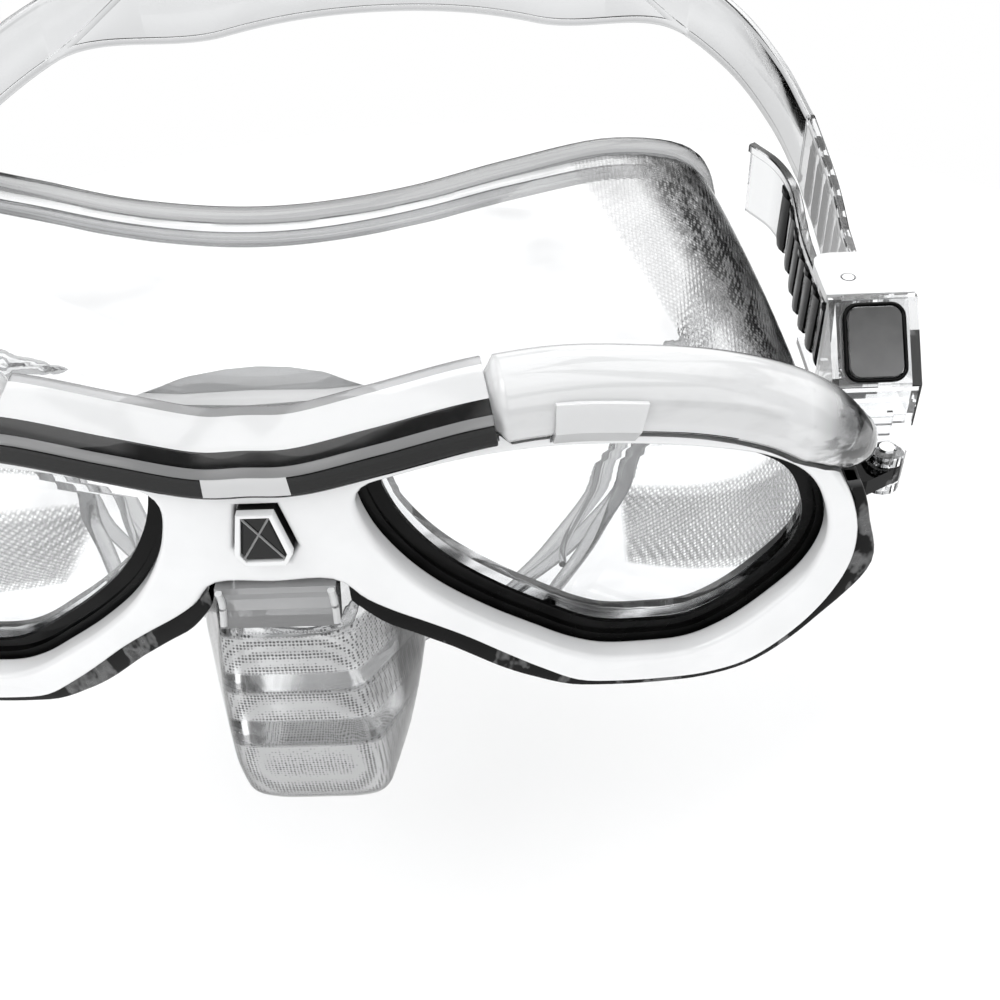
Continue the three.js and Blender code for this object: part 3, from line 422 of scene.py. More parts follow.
class Nodes:
    """Short names for building one node tree, of a material or of the world."""

    def __init__(self, name, world=False):
        self.material = (bpy.data.worlds if world else bpy.data.materials).new(name)
        self.material.use_nodes = True
        self.tree = self.material.node_tree
        self.shader = self.tree.nodes["Background" if world else "Principled BSDF"]
        self.place = self.add("ShaderNodeTexCoord").outputs["Generated" if world else "Object"]

    def add(self, kind, **settings):
        node = self.tree.nodes.new(kind)
        for key, value in settings.items():
            setattr(node, key, value)
        return node

    def link(self, source, target):
        self.tree.links.new(source, target)

    def slot(self, key):
        return self.shader.inputs[key.replace("_", " ").title().replace("Ior", "IOR")]

    def set(self, **values):
        for key, value in values.items():
            self.slot(key).default_value = value

    def feed(self, **sources):
        for key, source in sources.items():
            self.link(source, self.slot(key))

    def uneven(self, source, low, high):
        """Roughness that follows a noise between two limits."""
        self.feed(roughness=self.range(source, low, high, 0.35, 0.65))

    def noise(self, scale, detail=3, roughness=0.5, stretch=(1, 1, 1)):
        mapping = self.add("ShaderNodeMapping")
        mapping.inputs["Scale"].default_value = stretch
        self.link(self.place, mapping.inputs["Vector"])
        texture = self.add("ShaderNodeTexNoise")
        texture.inputs["Scale"].default_value = scale
        texture.inputs["Detail"].default_value = detail
        texture.inputs["Roughness"].default_value = roughness
        self.link(mapping.outputs[0], texture.inputs["Vector"])
        return texture.outputs["Fac"]

    def ramp(self, source, stops):
        """Colours along a value; each stop has a tuple, or a number for a faintly cool grey."""
        node = self.add("ShaderNodeValToRGB")
        while len(node.color_ramp.elements) < len(stops):
            node.color_ramp.elements.new(0.5)
        for element, (at, colour) in zip(node.color_ramp.elements, stops):
            element.position = at
            element.color = (*(colour if isinstance(colour, tuple) else grey(colour)), 1)
        self.link(source, node.inputs[0])
        return node.outputs[0]

    def range(self, source, low, high, start=0.0, end=1.0):
        node = self.add("ShaderNodeMapRange")
        for key, value in (("From Min", start), ("From Max", end), ("To Min", low), ("To Max", high)):
            node.inputs[key].default_value = value
        self.link(source, node.inputs[0])
        return node.outputs[0]

    def math(self, operation, *values):
        node = self.add("ShaderNodeMath", operation=operation)
        for slot, value in zip(node.inputs, values):
            if isinstance(value, (int, float)):
                slot.default_value = value
            else:
                self.link(value, slot)
        return node.outputs[0]

    def plus(self, first, *others):
        for other in others:
            first = self.math("ADD", first, other)
        return first

    def times(self, first, *others):
        for other in others:
            first = self.math("MULTIPLY", first, other)
        return first

    def between(self, value, low, high, soft=0.3):
        """1 where the value is between two limits and 0 outside them, with soft steps."""
        rise = self.range(value, 0, 1, low - soft, low + soft)
        fall = self.range(value, 1, 0, high - soft, high + soft)
        return self.times(rise, fall)

    def bump(self, height, strength, distance, normal=None):
        node = self.add("ShaderNodeBump")
        node.inputs["Strength"].default_value = strength
        node.inputs["Distance"].default_value = distance * MM
        self.link(height, node.inputs["Height"])
        if normal is not None:
            self.link(normal, node.inputs["Normal"])
        return node.outputs[0]

    def spread(self):
        """The object's x, y and z, in millimetres."""
        split = self.add("ShaderNodeSeparateXYZ")
        self.link(self.place, split.inputs[0])
        return [self.times(axis, 1 / MM) for axis in split.outputs]

    def mix(self, share, first, second, blend="MIX"):
        """Mixes two colours; each is a socket or a tuple."""
        node = self.add("ShaderNodeMix", data_type="RGBA", blend_type=blend)
        for slot, value in ((0, share), (6, first), (7, second)):
            if isinstance(value, (int, float)):
                node.inputs[slot].default_value = value
            elif isinstance(value, tuple):
                node.inputs[slot].default_value = (*value, 1)
            else:
                self.link(value, node.inputs[slot])
        return node.outputs[2]

    def rim(self, colour, dark, start=0.55, end=0.92):
        """Paints shade into a clear wall's colour towards its silhouette, standing in for the darker look
        where light passes through more of it.
        """
        facing = self.add("ShaderNodeLayerWeight")
        facing.inputs["Blend"].default_value = 0.5
        share = self.range(facing.outputs["Facing"], 0, 1, start, end)
        return self.mix(share, colour, (dark,) * 3)


def grey(value):
    return (value, value * 1.005, value * 1.01)


def clear_material(name, tint, rough, ior=PLASTIC_IOR, wave=0.05, dark=0.12, start=0.6,
                   transmission=1.0, gloss=0.5):
    """A clear finish: its tint, roughness, waviness, and how dark and how wide the painted shade at its
    silhouette is.
    """
    n = Nodes(name)
    n.set(transmission_weight=transmission, ior=ior, specular_ior_level=gloss)
    body = n.ramp(n.noise(60, 2), [(0.3, tint * 0.97), (0.7, tint)])
    # Painted shade towards the silhouette.
    n.feed(base_color=n.rim(body, dark, start))
    n.uneven(n.noise(240, 4), rough * 0.6, rough * 1.6)
    n.feed(normal=n.bump(n.noise(90, 1, 0.4), wave, 0.3))
    return n.material


def rail_material():
    """White in the middle of the rail, clear at its two ends, where dark streaks are painted on as painted
    reflections; painted shade towards its silhouette.
    """
    n = Nodes("rail_plastic")
    n.set(ior=PLASTIC_IOR, coat_weight=0.5)
    away = n.math("ABSOLUTE", n.spread()[0])
    n.feed(transmission_weight=n.range(away, 0.3, 1.0, RAIL_CLEAR["from"], RAIL_CLEAR["to"]))
    streak = n.noise(150, 3, 0.6, (0.5, 1.6, 1.6))
    calm = n.ramp(streak, [(0.36, 0.90), (0.5, 0.97)])
    # Painted reflections: near-black streaks on the clear ends.
    painted_reflection_streaks = n.ramp(streak, [(0.38, 0.001), (0.42, 0.4), (0.45, 0.98)])
    body = n.mix(n.range(away, 0, 1, RAIL_CLEAR["from"], RAIL_CLEAR["streaked"]), calm, painted_reflection_streaks)
    n.feed(base_color=n.rim(body, 0.03, 0.6))
    n.uneven(n.noise(240, 4), 0.02, 0.05)
    n.feed(normal=n.bump(n.noise(30, 1, 0.4, (0.3, 1, 1)), 0.05, 0.4))
    return n.material


def chassis_material():
    """Clear plastic painted near-black in its thick rim as painted shade, with lighter streaks as painted
    reflections, and light in the shelf at the bridge.
    """
    n = Nodes("chassis_plastic")
    n.set(ior=PLASTIC_IOR, specular_ior_level=0.08)
    z = n.spread()[2]
    streak = n.noise(110, 4, 0.6, (1, 1, 0.6))
    # Painted shade and painted reflections: near-black streaks with lighter ones in the clear rim.
    dark = n.ramp(streak, [(0.36, 0.0002), (0.54, 0.002), (0.64, 0.45)])
    light = n.ramp(n.noise(50, 2), [(0.3, 0.70), (0.7, 0.78)])
    upper = n.range(z, 0, 1, *CHASSIS_LIGHT)
    n.feed(base_color=n.mix(upper, dark, light))
    solid = n.times(n.range(streak, 0.9, 0, 0.54, 0.64), n.math("SUBTRACT", 1.0, upper))
    solid = n.math("MAXIMUM", solid, n.range(z, 0, 0.75, *SHELF_MILKY))
    n.feed(transmission_weight=n.math("SUBTRACT", 1.0, solid))
    n.uneven(streak, 0.01, 0.04)
    n.feed(normal=n.bump(n.noise(160, 2), 0.15, 0.3))
    return n.material


def silicone_material():
    """Clear silicone with stippled bands on the nose pocket, the cheeks and the temples, and painted shade
    and painted reflections on its walls.
    """
    n = Nodes("clear_silicone")
    n.set(ior=SILICONE_IOR)
    x, y, z = n.spread()
    side = n.math("ABSOLUTE", x)
    nose_width = n.between(side, -1, NOSE_HALF)

    # Nose: three bands that droop towards the back of the pocket.
    level = n.plus(z, n.times(n.plus(y, 68), 0.35))
    bands = [n.between(level, *limits) for limits in NOSE_BANDS]
    nose = n.times(nose_width, n.between(y, *NOSE_DEPTHS))
    nose = n.times(nose, n.plus(*bands))

    # Temple: everything outside a slanted line on the upper wall, darker further out, where a dark mottle
    # of painted shade lies over the stipple.
    slant = n.plus(side, n.times(y, TEMPLE_SLOPE))
    bend = n.times(n.math("SINE", n.times(y, 0.14)), 1.4)
    slant = n.plus(slant, bend)
    upper = n.times(n.between(z, -2, 60, 1), n.between(y, -46, 5, 0.8))
    temple = n.times(n.range(slant, 0, 1, *TEMPLE_FROM), upper)
    outer = n.times(n.range(slant, 0, 1, *TEMPLE_DARKER), upper)
    painted_shade_mottle = n.times(outer, n.range(n.noise(330, 5, 0.7), 0, 1, 0.45, 0.6))

    # Cheek: two curved bands low on the wall behind each lens.
    curve = n.plus(y, n.times(n.math("SUBTRACT", side, CHEEK_MIDDLE), CHEEK_SLOPE))
    low = n.times(n.between(side, 50, 90, 0.5), n.between(z, -40, -12, 0.5))
    cheek = n.plus(*[n.between(curve, *limits) for limits in CHEEK_BANDS])
    cheek = n.times(cheek, low)

    # Dark dots on the nose, a dark net with light dots elsewhere.
    dots = n.add("ShaderNodeTexVoronoi", feature="F1")
    dots.inputs["Scale"].default_value = STIPPLE_SCALE
    dots.inputs["Randomness"].default_value = 0.15
    n.link(n.place, dots.inputs["Vector"])
    dot = n.range(dots.outputs["Distance"], 0.9, 0.18, 0.26, 0.46)
    net = n.range(dots.outputs["Distance"], 0, 1, 0.2, 0.6)
    light = n.plus(n.times(temple, 0.28), n.times(outer, 0.42))
    light = n.plus(light, n.times(cheek, 0.6))
    grain = n.plus(n.times(dot, nose), n.times(net, light))
    # Painted shade along the bottom of the nose pocket.
    nose_floor_shade = n.times(n.range(z, 1, 0, *NOSE_FLOOR), nose_width)
    shade = n.plus(grain, n.times(painted_shade_mottle, 0.7))
    shade = n.math("MINIMUM", n.plus(shade, n.times(nose_floor_shade, 0.9)), 1.0)

    # Streaked zone of the wall next to each lens: near-black and white streaks as painted reflections.
    swept = n.times(n.math("MAXIMUM", n.math("SUBTRACT", side, BRIDGE_HALF), 0.0), WRAP_SLOPE)
    depth = n.math("SUBTRACT", y, swept)
    ledge_reflection = n.times(n.between(depth, *LEDGE_DEPTHS, 0.8), n.between(side, 13, 90, 1))
    ledge_reflection = n.times(ledge_reflection, n.range(z, 1, 0, 4, 9))
    streak = n.ramp(n.noise(75, 3, 0.6, (0.5, 1, 1)), [(0.40, 0.01), (0.50, 0.22), (0.58, 0.95)])

    clear = n.ramp(n.noise(45, 3, 0.6, (0.5, 1, 1)), [(0.36, 0.70), (0.48, 0.96), (0.7, 0.99)])
    body = n.mix(shade, n.mix(ledge_reflection, clear, streak), grey(0.02))
    # Painted shade towards the silhouette.
    n.feed(base_color=n.rim(body, 0.002, 0.50, 0.85))
    frosted = n.math("MAXIMUM", shade, n.times(nose, 0.8))
    n.feed(transmission_weight=n.range(frosted, 1.0, 0.4))
    gloss = n.range(n.noise(120, 3), 0.015, 0.04, 0.35, 0.65)
    n.feed(roughness=n.plus(n.times(shade, 0.10), gloss))
    soft = n.bump(n.noise(28, 1, 0.4), 0.3, 1.5)
    n.feed(normal=n.bump(grain, 0.3, -0.1, soft))
    return n.material


def solid_material(name, low, high, rough, metallic=0.0, coat=0.0, bump=0.05, scale=140, specular=0.5):
    """An opaque moulded or metal finish with small changes of colour and gloss."""
    n = Nodes(name)
    n.set(metallic=metallic, coat_weight=coat, coat_roughness=0.03, specular_ior_level=specular)
    n.feed(base_color=n.ramp(n.noise(scale, 3), [(0.3, low), (0.7, high)]))
    n.uneven(n.noise(scale * 2, 4), rough * 0.75, rough * 1.3)
    n.feed(normal=n.bump(n.noise(scale * 6, 2), bump, 0.05))
    return n.material


def button_material():
    """Dark satin plastic, with painted light making it a little lighter towards its lower end."""
    n = Nodes("button_grey")
    # Painted light: lighter towards the lower end, with a little random tone.
    painted_light_and_tone = n.range(n.spread()[2], 0.8, 0.1, -5, 8)
    painted_light_and_tone = n.plus(painted_light_and_tone, n.times(n.noise(300, 4), 0.2))
    n.feed(base_color=n.ramp(painted_light_and_tone, [(0.1, 0.035), (0.9, 0.22)]))
    n.uneven(n.noise(500, 4), 0.28, 0.42)
    n.feed(normal=n.bump(n.noise(1600, 2), 0.15, 0.05))
    return n.material


MATERIALS = {
    "clear": clear_material("clear_plastic", 0.985, 0.012),
    "milky": clear_material("frosted_plastic", 0.97, 0.05, transmission=0.35, dark=0.3, start=0.75),
    "smoke": clear_material("smoke_plastic", 0.012, 0.012, dark=0.001, gloss=0.1, transmission=0.6),
    "haze": clear_material("haze_plastic", 0.50, 0.02, dark=0.1, transmission=0.6),
    "rail": rail_material(),
    "chassis": chassis_material(),
    "lens": clear_material("lens_glass", 0.995, 0.004, ior=GLASS_IOR, wave=0.01, start=0.85),
    "silicone": silicone_material(),
    # Seams: the clear silicone painted grey and dark at its edges, as painted shade.
    "seam": clear_material("seam_silicone", 0.50, 0.03, ior=SILICONE_IOR, dark=0.0, start=0.30),
    # Lip beads: the clear silicone painted grey and dark at its edges, as painted shade.
    "lip": clear_material("lip_silicone", 0.50, 0.03, ior=SILICONE_IOR, dark=0.0, start=0.25),
    "strap": clear_material("strap_web", 0.80, 0.05, ior=SILICONE_IOR, wave=0.1, dark=0.08, start=0.45),
    "ribs": solid_material("strap_ribs", 0.003, 0.010, 0.22, bump=0.1, specular=0.07),
    "white": solid_material("white_gloss", 0.90, 0.94, 0.09, coat=0.5, bump=0.01),
    "rubber": solid_material("black_rubber", 0.002, 0.006, 0.09, bump=0.05, specular=0.08),
    "button": button_material(),
    "grey": solid_material("pawl_grey", 0.06, 0.10, 0.3, bump=0.15, scale=300),
    "steel": solid_material("steel", 0.55, 0.72, 0.18, metallic=1.0),
}


# ---------------- camera, floor, world, light
CAMERA_AT = Vector((34.73, -170.15, 104.21)) * MM
CAMERA_RIGHT = Vector((0.9990, 0.0006, -0.0443))
CAMERA_UP = Vector((0.0326, 0.6659, 0.7453))
CAMERA_BACK = Vector((0.0300, -0.7460, 0.6652))
LENS_MM = 41.4
FLOOR_RADIUS, FLOOR_DROP = 330, 60
# Brightness from straight down to straight up, as seen in gloss, through clear pieces and by matt ones.
DOME = [(0, 1.1), (0.34, 1.0), (0.40, 0.02), (0.54, 0.01), (0.58, 1.5), (0.78, 1.7), (0.80, 0.15),
        (0.83, 0.15), (0.86, 2.0), (1, 2.0)]
THROUGH = [(0, 1.1), (0.36, 1.0), (0.46, 0.72), (0.56, 0.95), (0.75, 0.5), (1, 1.2)]
SOFT = [(0, 0.75), (0.5, 0.7), (1, 0.95)]
# Name, place and size in metres, and power of each lamp.
LAMPS = [("key", (-0.6, -0.5, 1.1), 0.9, 5.0), ("back", (0.5, 0.9, 0.9), 0.8, 3.0)]


def make_camera():
    data = bpy.data.cameras.new("camera")
    data.lens = LENS_MM
    data.sensor_width = 36.0
    data.clip_start = 0.005
    data.clip_end = 100.0
    camera = add_object("camera", data)
    turn = Matrix((CAMERA_RIGHT, CAMERA_UP, CAMERA_BACK)).transposed()
    camera.matrix_world = Matrix.Translation(CAMERA_AT) @ turn.to_4x4()
    bpy.context.scene.camera = camera


def make_floor():
    n = Nodes("floor_white")
    n.feed(base_color=n.ramp(n.noise(3, 2), [(0.3, (0.90, 0.90, 0.90)), (0.7, (0.92, 0.92, 0.92))]))
    n.set(roughness=0.9, specular_ior_level=0.1, emission_strength=0.08, emission_color=(1, 1, 1, 1))
    low = cad_box[0][2] / MM - FLOOR_DROP
    turns = np.linspace(0, 2 * math.pi, 96, endpoint=False)
    rim = [(FLOOR_RADIUS * math.cos(t), FLOOR_RADIUS * math.sin(t), low) for t in turns]
    floor = build("floor", rim, [tuple(range(len(rim)))])
    floor.data.materials.append(n.material)


def make_world():
    """White to the eye. Glossy pieces see a dark horizon between a bright dome and the floor."""
    n = Nodes("studio", world=True)
    bpy.context.scene.world = n.material
    split = n.add("ShaderNodeSeparateXYZ")
    n.link(n.place, split.inputs[0])
    x, y, z = split.outputs
    level = n.range(z, 0, 1, -1, 1)
    dome = n.ramp(level, [(at, (value,) * 3) for at, value in DOME])
    through = n.ramp(level, THROUGH)
    soft = n.ramp(level, SOFT)
    wave = n.math("SINE", n.plus(n.times(n.math("ARCTAN2", y, x), 5), 0.6))
    gaps = n.range(wave, 0.12, 1, -0.75, -0.35)
    rays = n.add("ShaderNodeLightPath").outputs
    sharp = n.mix(rays["Is Transmission Ray"], n.mix(1.0, dome, gaps, "MULTIPLY"), through)
    matt = n.mix(rays["Is Camera Ray"], soft, (1.0, 1.0, 1.0))
    plain = n.math("MAXIMUM", rays["Is Camera Ray"], rays["Is Diffuse Ray"])
    n.feed(color=n.mix(plain, sharp, matt))
    n.set(strength=1.0)


def make_lights():
    for name, at, size, watts in LAMPS:
        data = bpy.data.lights.new(name, "AREA")
        data.shape = "SQUARE"
        data.size = size
        data.energy = watts
        light = add_object(name, data)
        light.location = at
        light.rotation_euler = Vector(at).to_track_quat("Z", "Y").to_euler()


# ---------------- rail, cap
def rail_frames(start, end, count):
    """Centres of the rail between two x, with its forward and upward directions there."""
    points = []
    for x, z in RAIL_HALF:
        swept = WRAP_SLOPE * max(0, x - BRIDGE_HALF)
        points.append((x, RAIL_Y + swept + max(0, x - RAIL["swept_from"]) * RAIL["swept"], z))
    path = spline([(-x, y, z) for x, y, z in reversed(points[1:])] + points, 900)
    xs = np.linspace(start, end, count)
    centres = np.stack([xs] + [np.interp(xs, path[:, 0], path[:, k]) for k in (1, 2)], 1)
    along = np.gradient(path, axis=0)
    along = unit(np.stack([np.interp(xs, path[:, 0], along[:, k]) for k in range(3)], 1))
    forward = unit(np.array([0, -1, 0]) + along * along[:, 1:2])
    return centres, forward, np.cross(forward, along)


def rail_sweep(start, end, count, section):
    rings = []
    for c, f, u in zip(*rail_frames(start, end, count)):
        rings.append([c + f * a + u * b for a, b in section(c[0])])
    return loft(rings)


def rail_section(x, growth=1.0, count=40):
    """The rail's section at x: a thin core under the cap, full beside it, smaller at the ends."""
    outside = min(1, max(0, (abs(x) - CAP_HALF - GAP) / 0.8))
    taper = min(1, max(0, (abs(x) - RAIL["taper_from"]) / RAIL["taper_over"]))
    scale = (1 - RAIL["thinned"] * taper) * growth
    if abs(x) > RAIL["round_from"]:
        scale *= 1 - RAIL["thinned"] * ((abs(x) - RAIL["round_from"]) / RAIL["round_over"]) ** 2
    core, full = np.array(CORE_SECTION), np.array(RAIL_SECTION)
    return spline((core + (full - core) * outside) * scale, count, closed=True)


def make_rail():
    """The rail, with painted shade along its lower edge, and the faceted clear cap over its middle, its
    facets given painted shade and painted highlights.
    """
    rail = build("rail_bar", *rail_sweep(-RAIL["half"], RAIL["half"], 240, rail_section), sharp=60)
    dress(rail, "rail", ["brow_rail"])
    # The downward faces outside the cap take the dark smoke finish, as painted shade beneath the rail.
    rail.data.materials.append(MATERIALS["smoke"])
    for face in rail.data.polygons:
        if face.normal.z < -0.55 and abs(face.center.x) > CAP_HALF * MM:
            face.material_index = 1
    verts, faces = rail_sweep(-CAP_HALF, CAP_HALF, 90, lambda x: CAP_SECTION)
    cap = build("rail_cap", verts, faces, sharp=18)
    dress(cap, "clear", ["brow_centre_cap"])
    for finish in CAP_FINISHES[1:]:
        cap.data.materials.append(MATERIALS[finish])
    # Dark and light finishes on the cap's facets, as painted shade and painted highlights.
    for face, corners in zip(cap.data.polygons, faces):
        if len(corners) == 4:
            bands = CAP_PAINTED_MIDDLE if abs(face.center.x) < CAP_FLAT * MM else CAP_PAINTED_BANDS
            finish = bands.get(min(corners) % len(CAP_SECTION), "clear")
            face.material_index = CAP_FINISHES.index(finish)
    add_bevel(cap, 0.22, 2, 18)


def rail_clearance():
    """The room the bezel leaves for the rail, the cap and the two clips."""
    far = RAIL["half"] + 0.1
    yield build("room_rail", *rail_sweep(-far, far, 120, lambda x: rail_section(x, 1.12, 24)))
    yield build("room_cap", *rail_sweep(-CAP_HALF - GAP, CAP_HALF + GAP, 60, lambda x: CAP_ROOM))
    for _, side in SIDES:
        low, high = sorted((side * (CLIP_SPAN[0] - GAP), side * (CLIP_SPAN[1] + GAP)))
        yield build("room_clip", *rail_sweep(low, high, 12, lambda x: CLIP_ROOM))


# ---------------- bezel, gaskets, lenses
OPENING = spline(LENS_OPENING, 150, closed=True)
BEZEL_EDGE = spline(whole(BEZEL_HALF), 260, closed=True)


def latch_outline(margin):
    return grown(LATCH_HALF + [(-x, z) for x, z in reversed(LATCH_HALF)], margin)


def make_bezel():
    holes = [OPENING, OPENING * (-1, 1), latch_outline(LATCH_FRAME["room"])]
    bezel = plate("bezel_white", BEZEL_EDGE, holes, BEZEL["front"], BEZEL["back"], bevel=BEZEL["bevel"])
    for tool in rail_clearance():
        boolean(bezel, tool)
    smooth(bezel, 40)
    dress(bezel, "white", ["front_bezel"])


def make_eyes():
    """The black gasket round each lens, stepped at its front edge, and the lens in its seat."""
    for name, side in SIDES:
        def opening(margin, side=side):
            return grown(OPENING, margin) * (side, 1)

        front, back = GASKET["front"], GASKET["back"]
        ring = plate(f"gasket_ring_{name}", opening(GASKET["outside"]), [opening(-GASKET["inside"])],
                     front, back, bevel=0.25)
        boolean(ring, plate("seat", opening(GAP - LENS["inset"]), [], front + GASKET["lip"], back + 1))
        boolean(ring, plate("step", opening(-GASKET["step"]), [], front - 1, front + GASKET["step_depth"]))
        smooth(ring, 40)
        dress(ring, "rubber", [f"lens_gasket_{name}"])
        front = LENS["front"]
        lens = plate(f"lens_pane_{name}", opening(-LENS["inset"]), [], front, front + LENS["thickness"],
                     bevel=0.15)
        dress(lens, "lens", [f"lens_{name}"])


# ---------------- chassis rim, latch, tongue
def make_chassis_rim():
    """The smooth rim of the clear chassis that stands out round the bezel."""
    near = grown(BEZEL_EDGE, CHASSIS["margin"])
    far = grown(BEZEL_EDGE, CHASSIS["margin"] + CHASSIS["nose_margin"])
    away, height = np.abs(BEZEL_EDGE[:, 0]), BEZEL_EDGE[:, 1]
    beside = smoothstep(away, 9, 17) * (1 - smoothstep(away, 30, 44)) * (height < 0)
    outline = near + (far - near) * beside[:, None]
    flare = smoothstep(1 - np.abs(outline[:, 1] - FLARE["middle"]) / FLARE["span"], 0, 1)
    flare *= np.abs(outline[:, 0]) > FLARE["beyond"]
    outline[:, 0] += np.sign(outline[:, 0]) * FLARE["height"] * flare
    rim = plate("chassis_rim", outline, [grown(BEZEL_EDGE, 0.2)], CHASSIS["rim"], CHASSIS["back"] - 3,
                bevel=0.3)
    bridge, top = CHASSIS["bridge"], CHASSIS["top"]
    for low_x, high_x, low_z, high_z, back in ((-bridge, bridge, -60, 30, -40), (-FAR, FAR, top, 40, -30)):
        corners = [(low_x, low_z), (high_x, low_z), (high_x, high_z), (low_x, high_z)]
        boolean(rim, plate("cut", corners, [], -90, back, sheared=False))
    smooth(rim, 40)
    dress(rim, "chassis")


def make_bridge_details():
    """The bright frame and crossed ridges of the latch, the ridges light as a painted highlight, and the
    two side ribs of the tongue.
    """
    outside, inside = latch_outline(LATCH_FRAME["outside"]), latch_outline(LATCH_FRAME["inside"])
    frame_ring = plate("latch_frame", outside, [inside], LATCH_FRAME["front"], LATCH_FRAME["back"],
                       bevel=0.15)
    dress(frame_ring, "white")
    corners = latch_outline(RIDGE["inset"])
    low, high = corners[:, 1].min(), corners[:, 1].max()
    for side in (1, -1):
        route = [(side * corners[:, 0].min() * 0.9, RIDGE["y"], low + 0.4),
                 (side * corners[:, 0].max() * 0.6, RIDGE["y"], high)]
        # Light ridges as a painted highlight along the latch's facet edges.
        ridge = build("latch_ridge", *tube(spline(route, 8), RIDGE["radius"], 8))
        dress(ridge, "haze")
        route = [(side * x, y, z) for x, y, z in TONGUE_RIB]
        rib = build("tongue_rib", *tube(spline(route, 16), TONGUE_RIB_RADIUS, 10))
        dress(rib, "milky")


# ---------------- silicone skirt
def skirt_ring(share, inset, count=150):
    """A ring round the skirt, at a share of the way from the lens frame to the face seal."""
    half = []
    for (x, z), seal in zip(SKIRT_FRONT, SKIRT_SEAL):
        front = np.array([x, FLANGE["front"] + WRAP_SLOPE * max(0, x - BRIDGE_HALF), z])
        half.append(tuple(front + (np.array(seal) - front) * share))
    ring = spline(whole(half), count, closed=True, even=False)
    bulge = SKIRT_BULGE * math.sin(math.pi * share) ** 0.8 if share < 1 else 0
    flat = grown(ring[:, [0, 2]], bulge - inset)
    return np.stack([flat[:, 0], ring[:, 1], flat[:, 1]], 1)


def nose_ring(level, inset, back):
    """A level ring round the nose pocket, from its front to a straight back."""
    z, front, front_half, side, side_half = level
    half = [(0, front), (0.55 * front_half, front), (0.9 * front_half, front + 0.5),
            (front_half, front + 1.8), ((front_half + side_half) / 2, (front + side) / 2 + 0.6),
            (side_half, side), (side_half, back), (0, back)]
    half = [(max(0, x - (inset if x > 0.1 else 0)), y + inset if y < back - 1 else y) for x, y in half]
    return [(x, y, z) for x, y in whole(half)]


def fan_loft(rings):
    """A loft whose two ends are closed by a fan to a middle point."""
    verts, faces = loft(rings, lids=False)
    n = len(rings[0])
    verts = np.concatenate([verts, [np.mean(rings[0], 0)], [np.mean(rings[-1], 0)]])
    last = (len(rings) - 1) * n
    for j in range(n):
        k = (j + 1) % n
        faces.append((k, j, len(verts) - 2))
        faces.append((last + j, last + k, len(verts) - 1))
    return verts, faces


def slab_in_front(depth):
    """Everything in front of a swept-back plane."""
    corners = [(-FAR, -60), (FAR, -60), (FAR, 45), (-FAR, 45)]
    return plate("slab", corners, [], depth - 40, depth)


def skirt_form(name, wall, front, nose_inset, nose_back, reach=0):
    """One closed smooth form: the skirt's body and its nose pocket, blended together."""
    rings = [skirt_ring(share, wall(share)) for share in np.linspace(0, 1, 22)]
    rings.insert(0, rings[0] + (0, -8, 0))
    if reach:
        rings.append(rings[-1] + (0, reach, 0))
    body = build(name, *fan_loft(rings))
    boolean(body, slab_in_front(front))
    levels = np.array(NOSE_LEVELS, float)
    if nose_inset:
        levels[:, 0] = np.clip(levels[:, 0], levels[-1, 0] + nose_inset, levels[0, 0] - nose_inset)
    steps = np.linspace(0, len(levels) - 1, 40)
    fine = [[np.interp(at, range(len(levels)), levels[:, k]) for k in range(5)] for at in steps]
    nose = [nose_ring(level, nose_inset, nose_back) for level in fine]
    merge(body, build("nose_form", *fan_loft(nose)))
    remesh(body)
    return body


def make_skirt():
    """The hollow skirt with its two eye holes, and the beads along its face-seal lip."""
    skirt = skirt_form("skirt_shell", lambda share: 0, FLANGE["front"], 0, NOSE_BACK)
    hollow = skirt_form("skirt_hollow", lambda share: SKIRT_WALL + (LIP_WALL - SKIRT_WALL) * share,
                        FLANGE["back"], NOSE_WALL, NOSE_BACK + 12, reach=9)
    boolean(skirt, hollow)
    for _, side in SIDES:
        outline = grown(OPENING, -FLANGE["inside"]) * (side, 1)
        boolean(skirt, plate("eye_hole", outline, [], -75, -40, sheared=False))
    smooth(skirt, 50)
    replaced = [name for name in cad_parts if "skirt" in name]
    dress(skirt, "silicone", replaced)
    for number, (share, inset, radius) in enumerate(LIP_BEADS):
        bead = build(f"lip_bead_{number}", *tube(skirt_ring(share, inset, 220), radius, 12, closed=True))
        # The beads are painted grey as painted shade.
        dress(bead, "lip")


def make_seams():
    """The raised seams inside each cheek, in the same silicone painted a darker grey as painted shade."""
    for name, side in SIDES:
        for number, (route, radius) in enumerate(SEAMS):
            path = spline(route, 60) * (side, 1, 1)
            seam = build(f"cheek_seam_{name}_{number}", *tube(path, radius, 12), sharp=60)
            dress(seam, "seam")


# ---------------- strap
def strap_frames(route, count, lift=None):
    """Centres, outward directions and lengths so far, along a route in plan."""
    path = spline(route, count)
    along = unit(np.gradient(path, axis=0))
    z = STRAP_CLIMB * np.maximum(0, path[:, 1] - STRAP_LEVEL_TO)
    if lift:
        z += [lift(share) for share in np.arange(count) / (count - 1)]
    centre = np.stack([path[:, 0], path[:, 1], z], 1)
    out = np.stack([along[:, 1], -along[:, 0], np.zeros(count)], 1)
    return centre, out, lengths(path)


def strap_band(name, frames, section):
    """Sweeps a section of (out, up) points along the strap."""
    centre, out, _ = frames
    rings = [[c + o * a + np.array([0, 0, b]) for a, b in section] for c, o in zip(centre, out)]
    return build(name, *loft(rings), sharp=40)


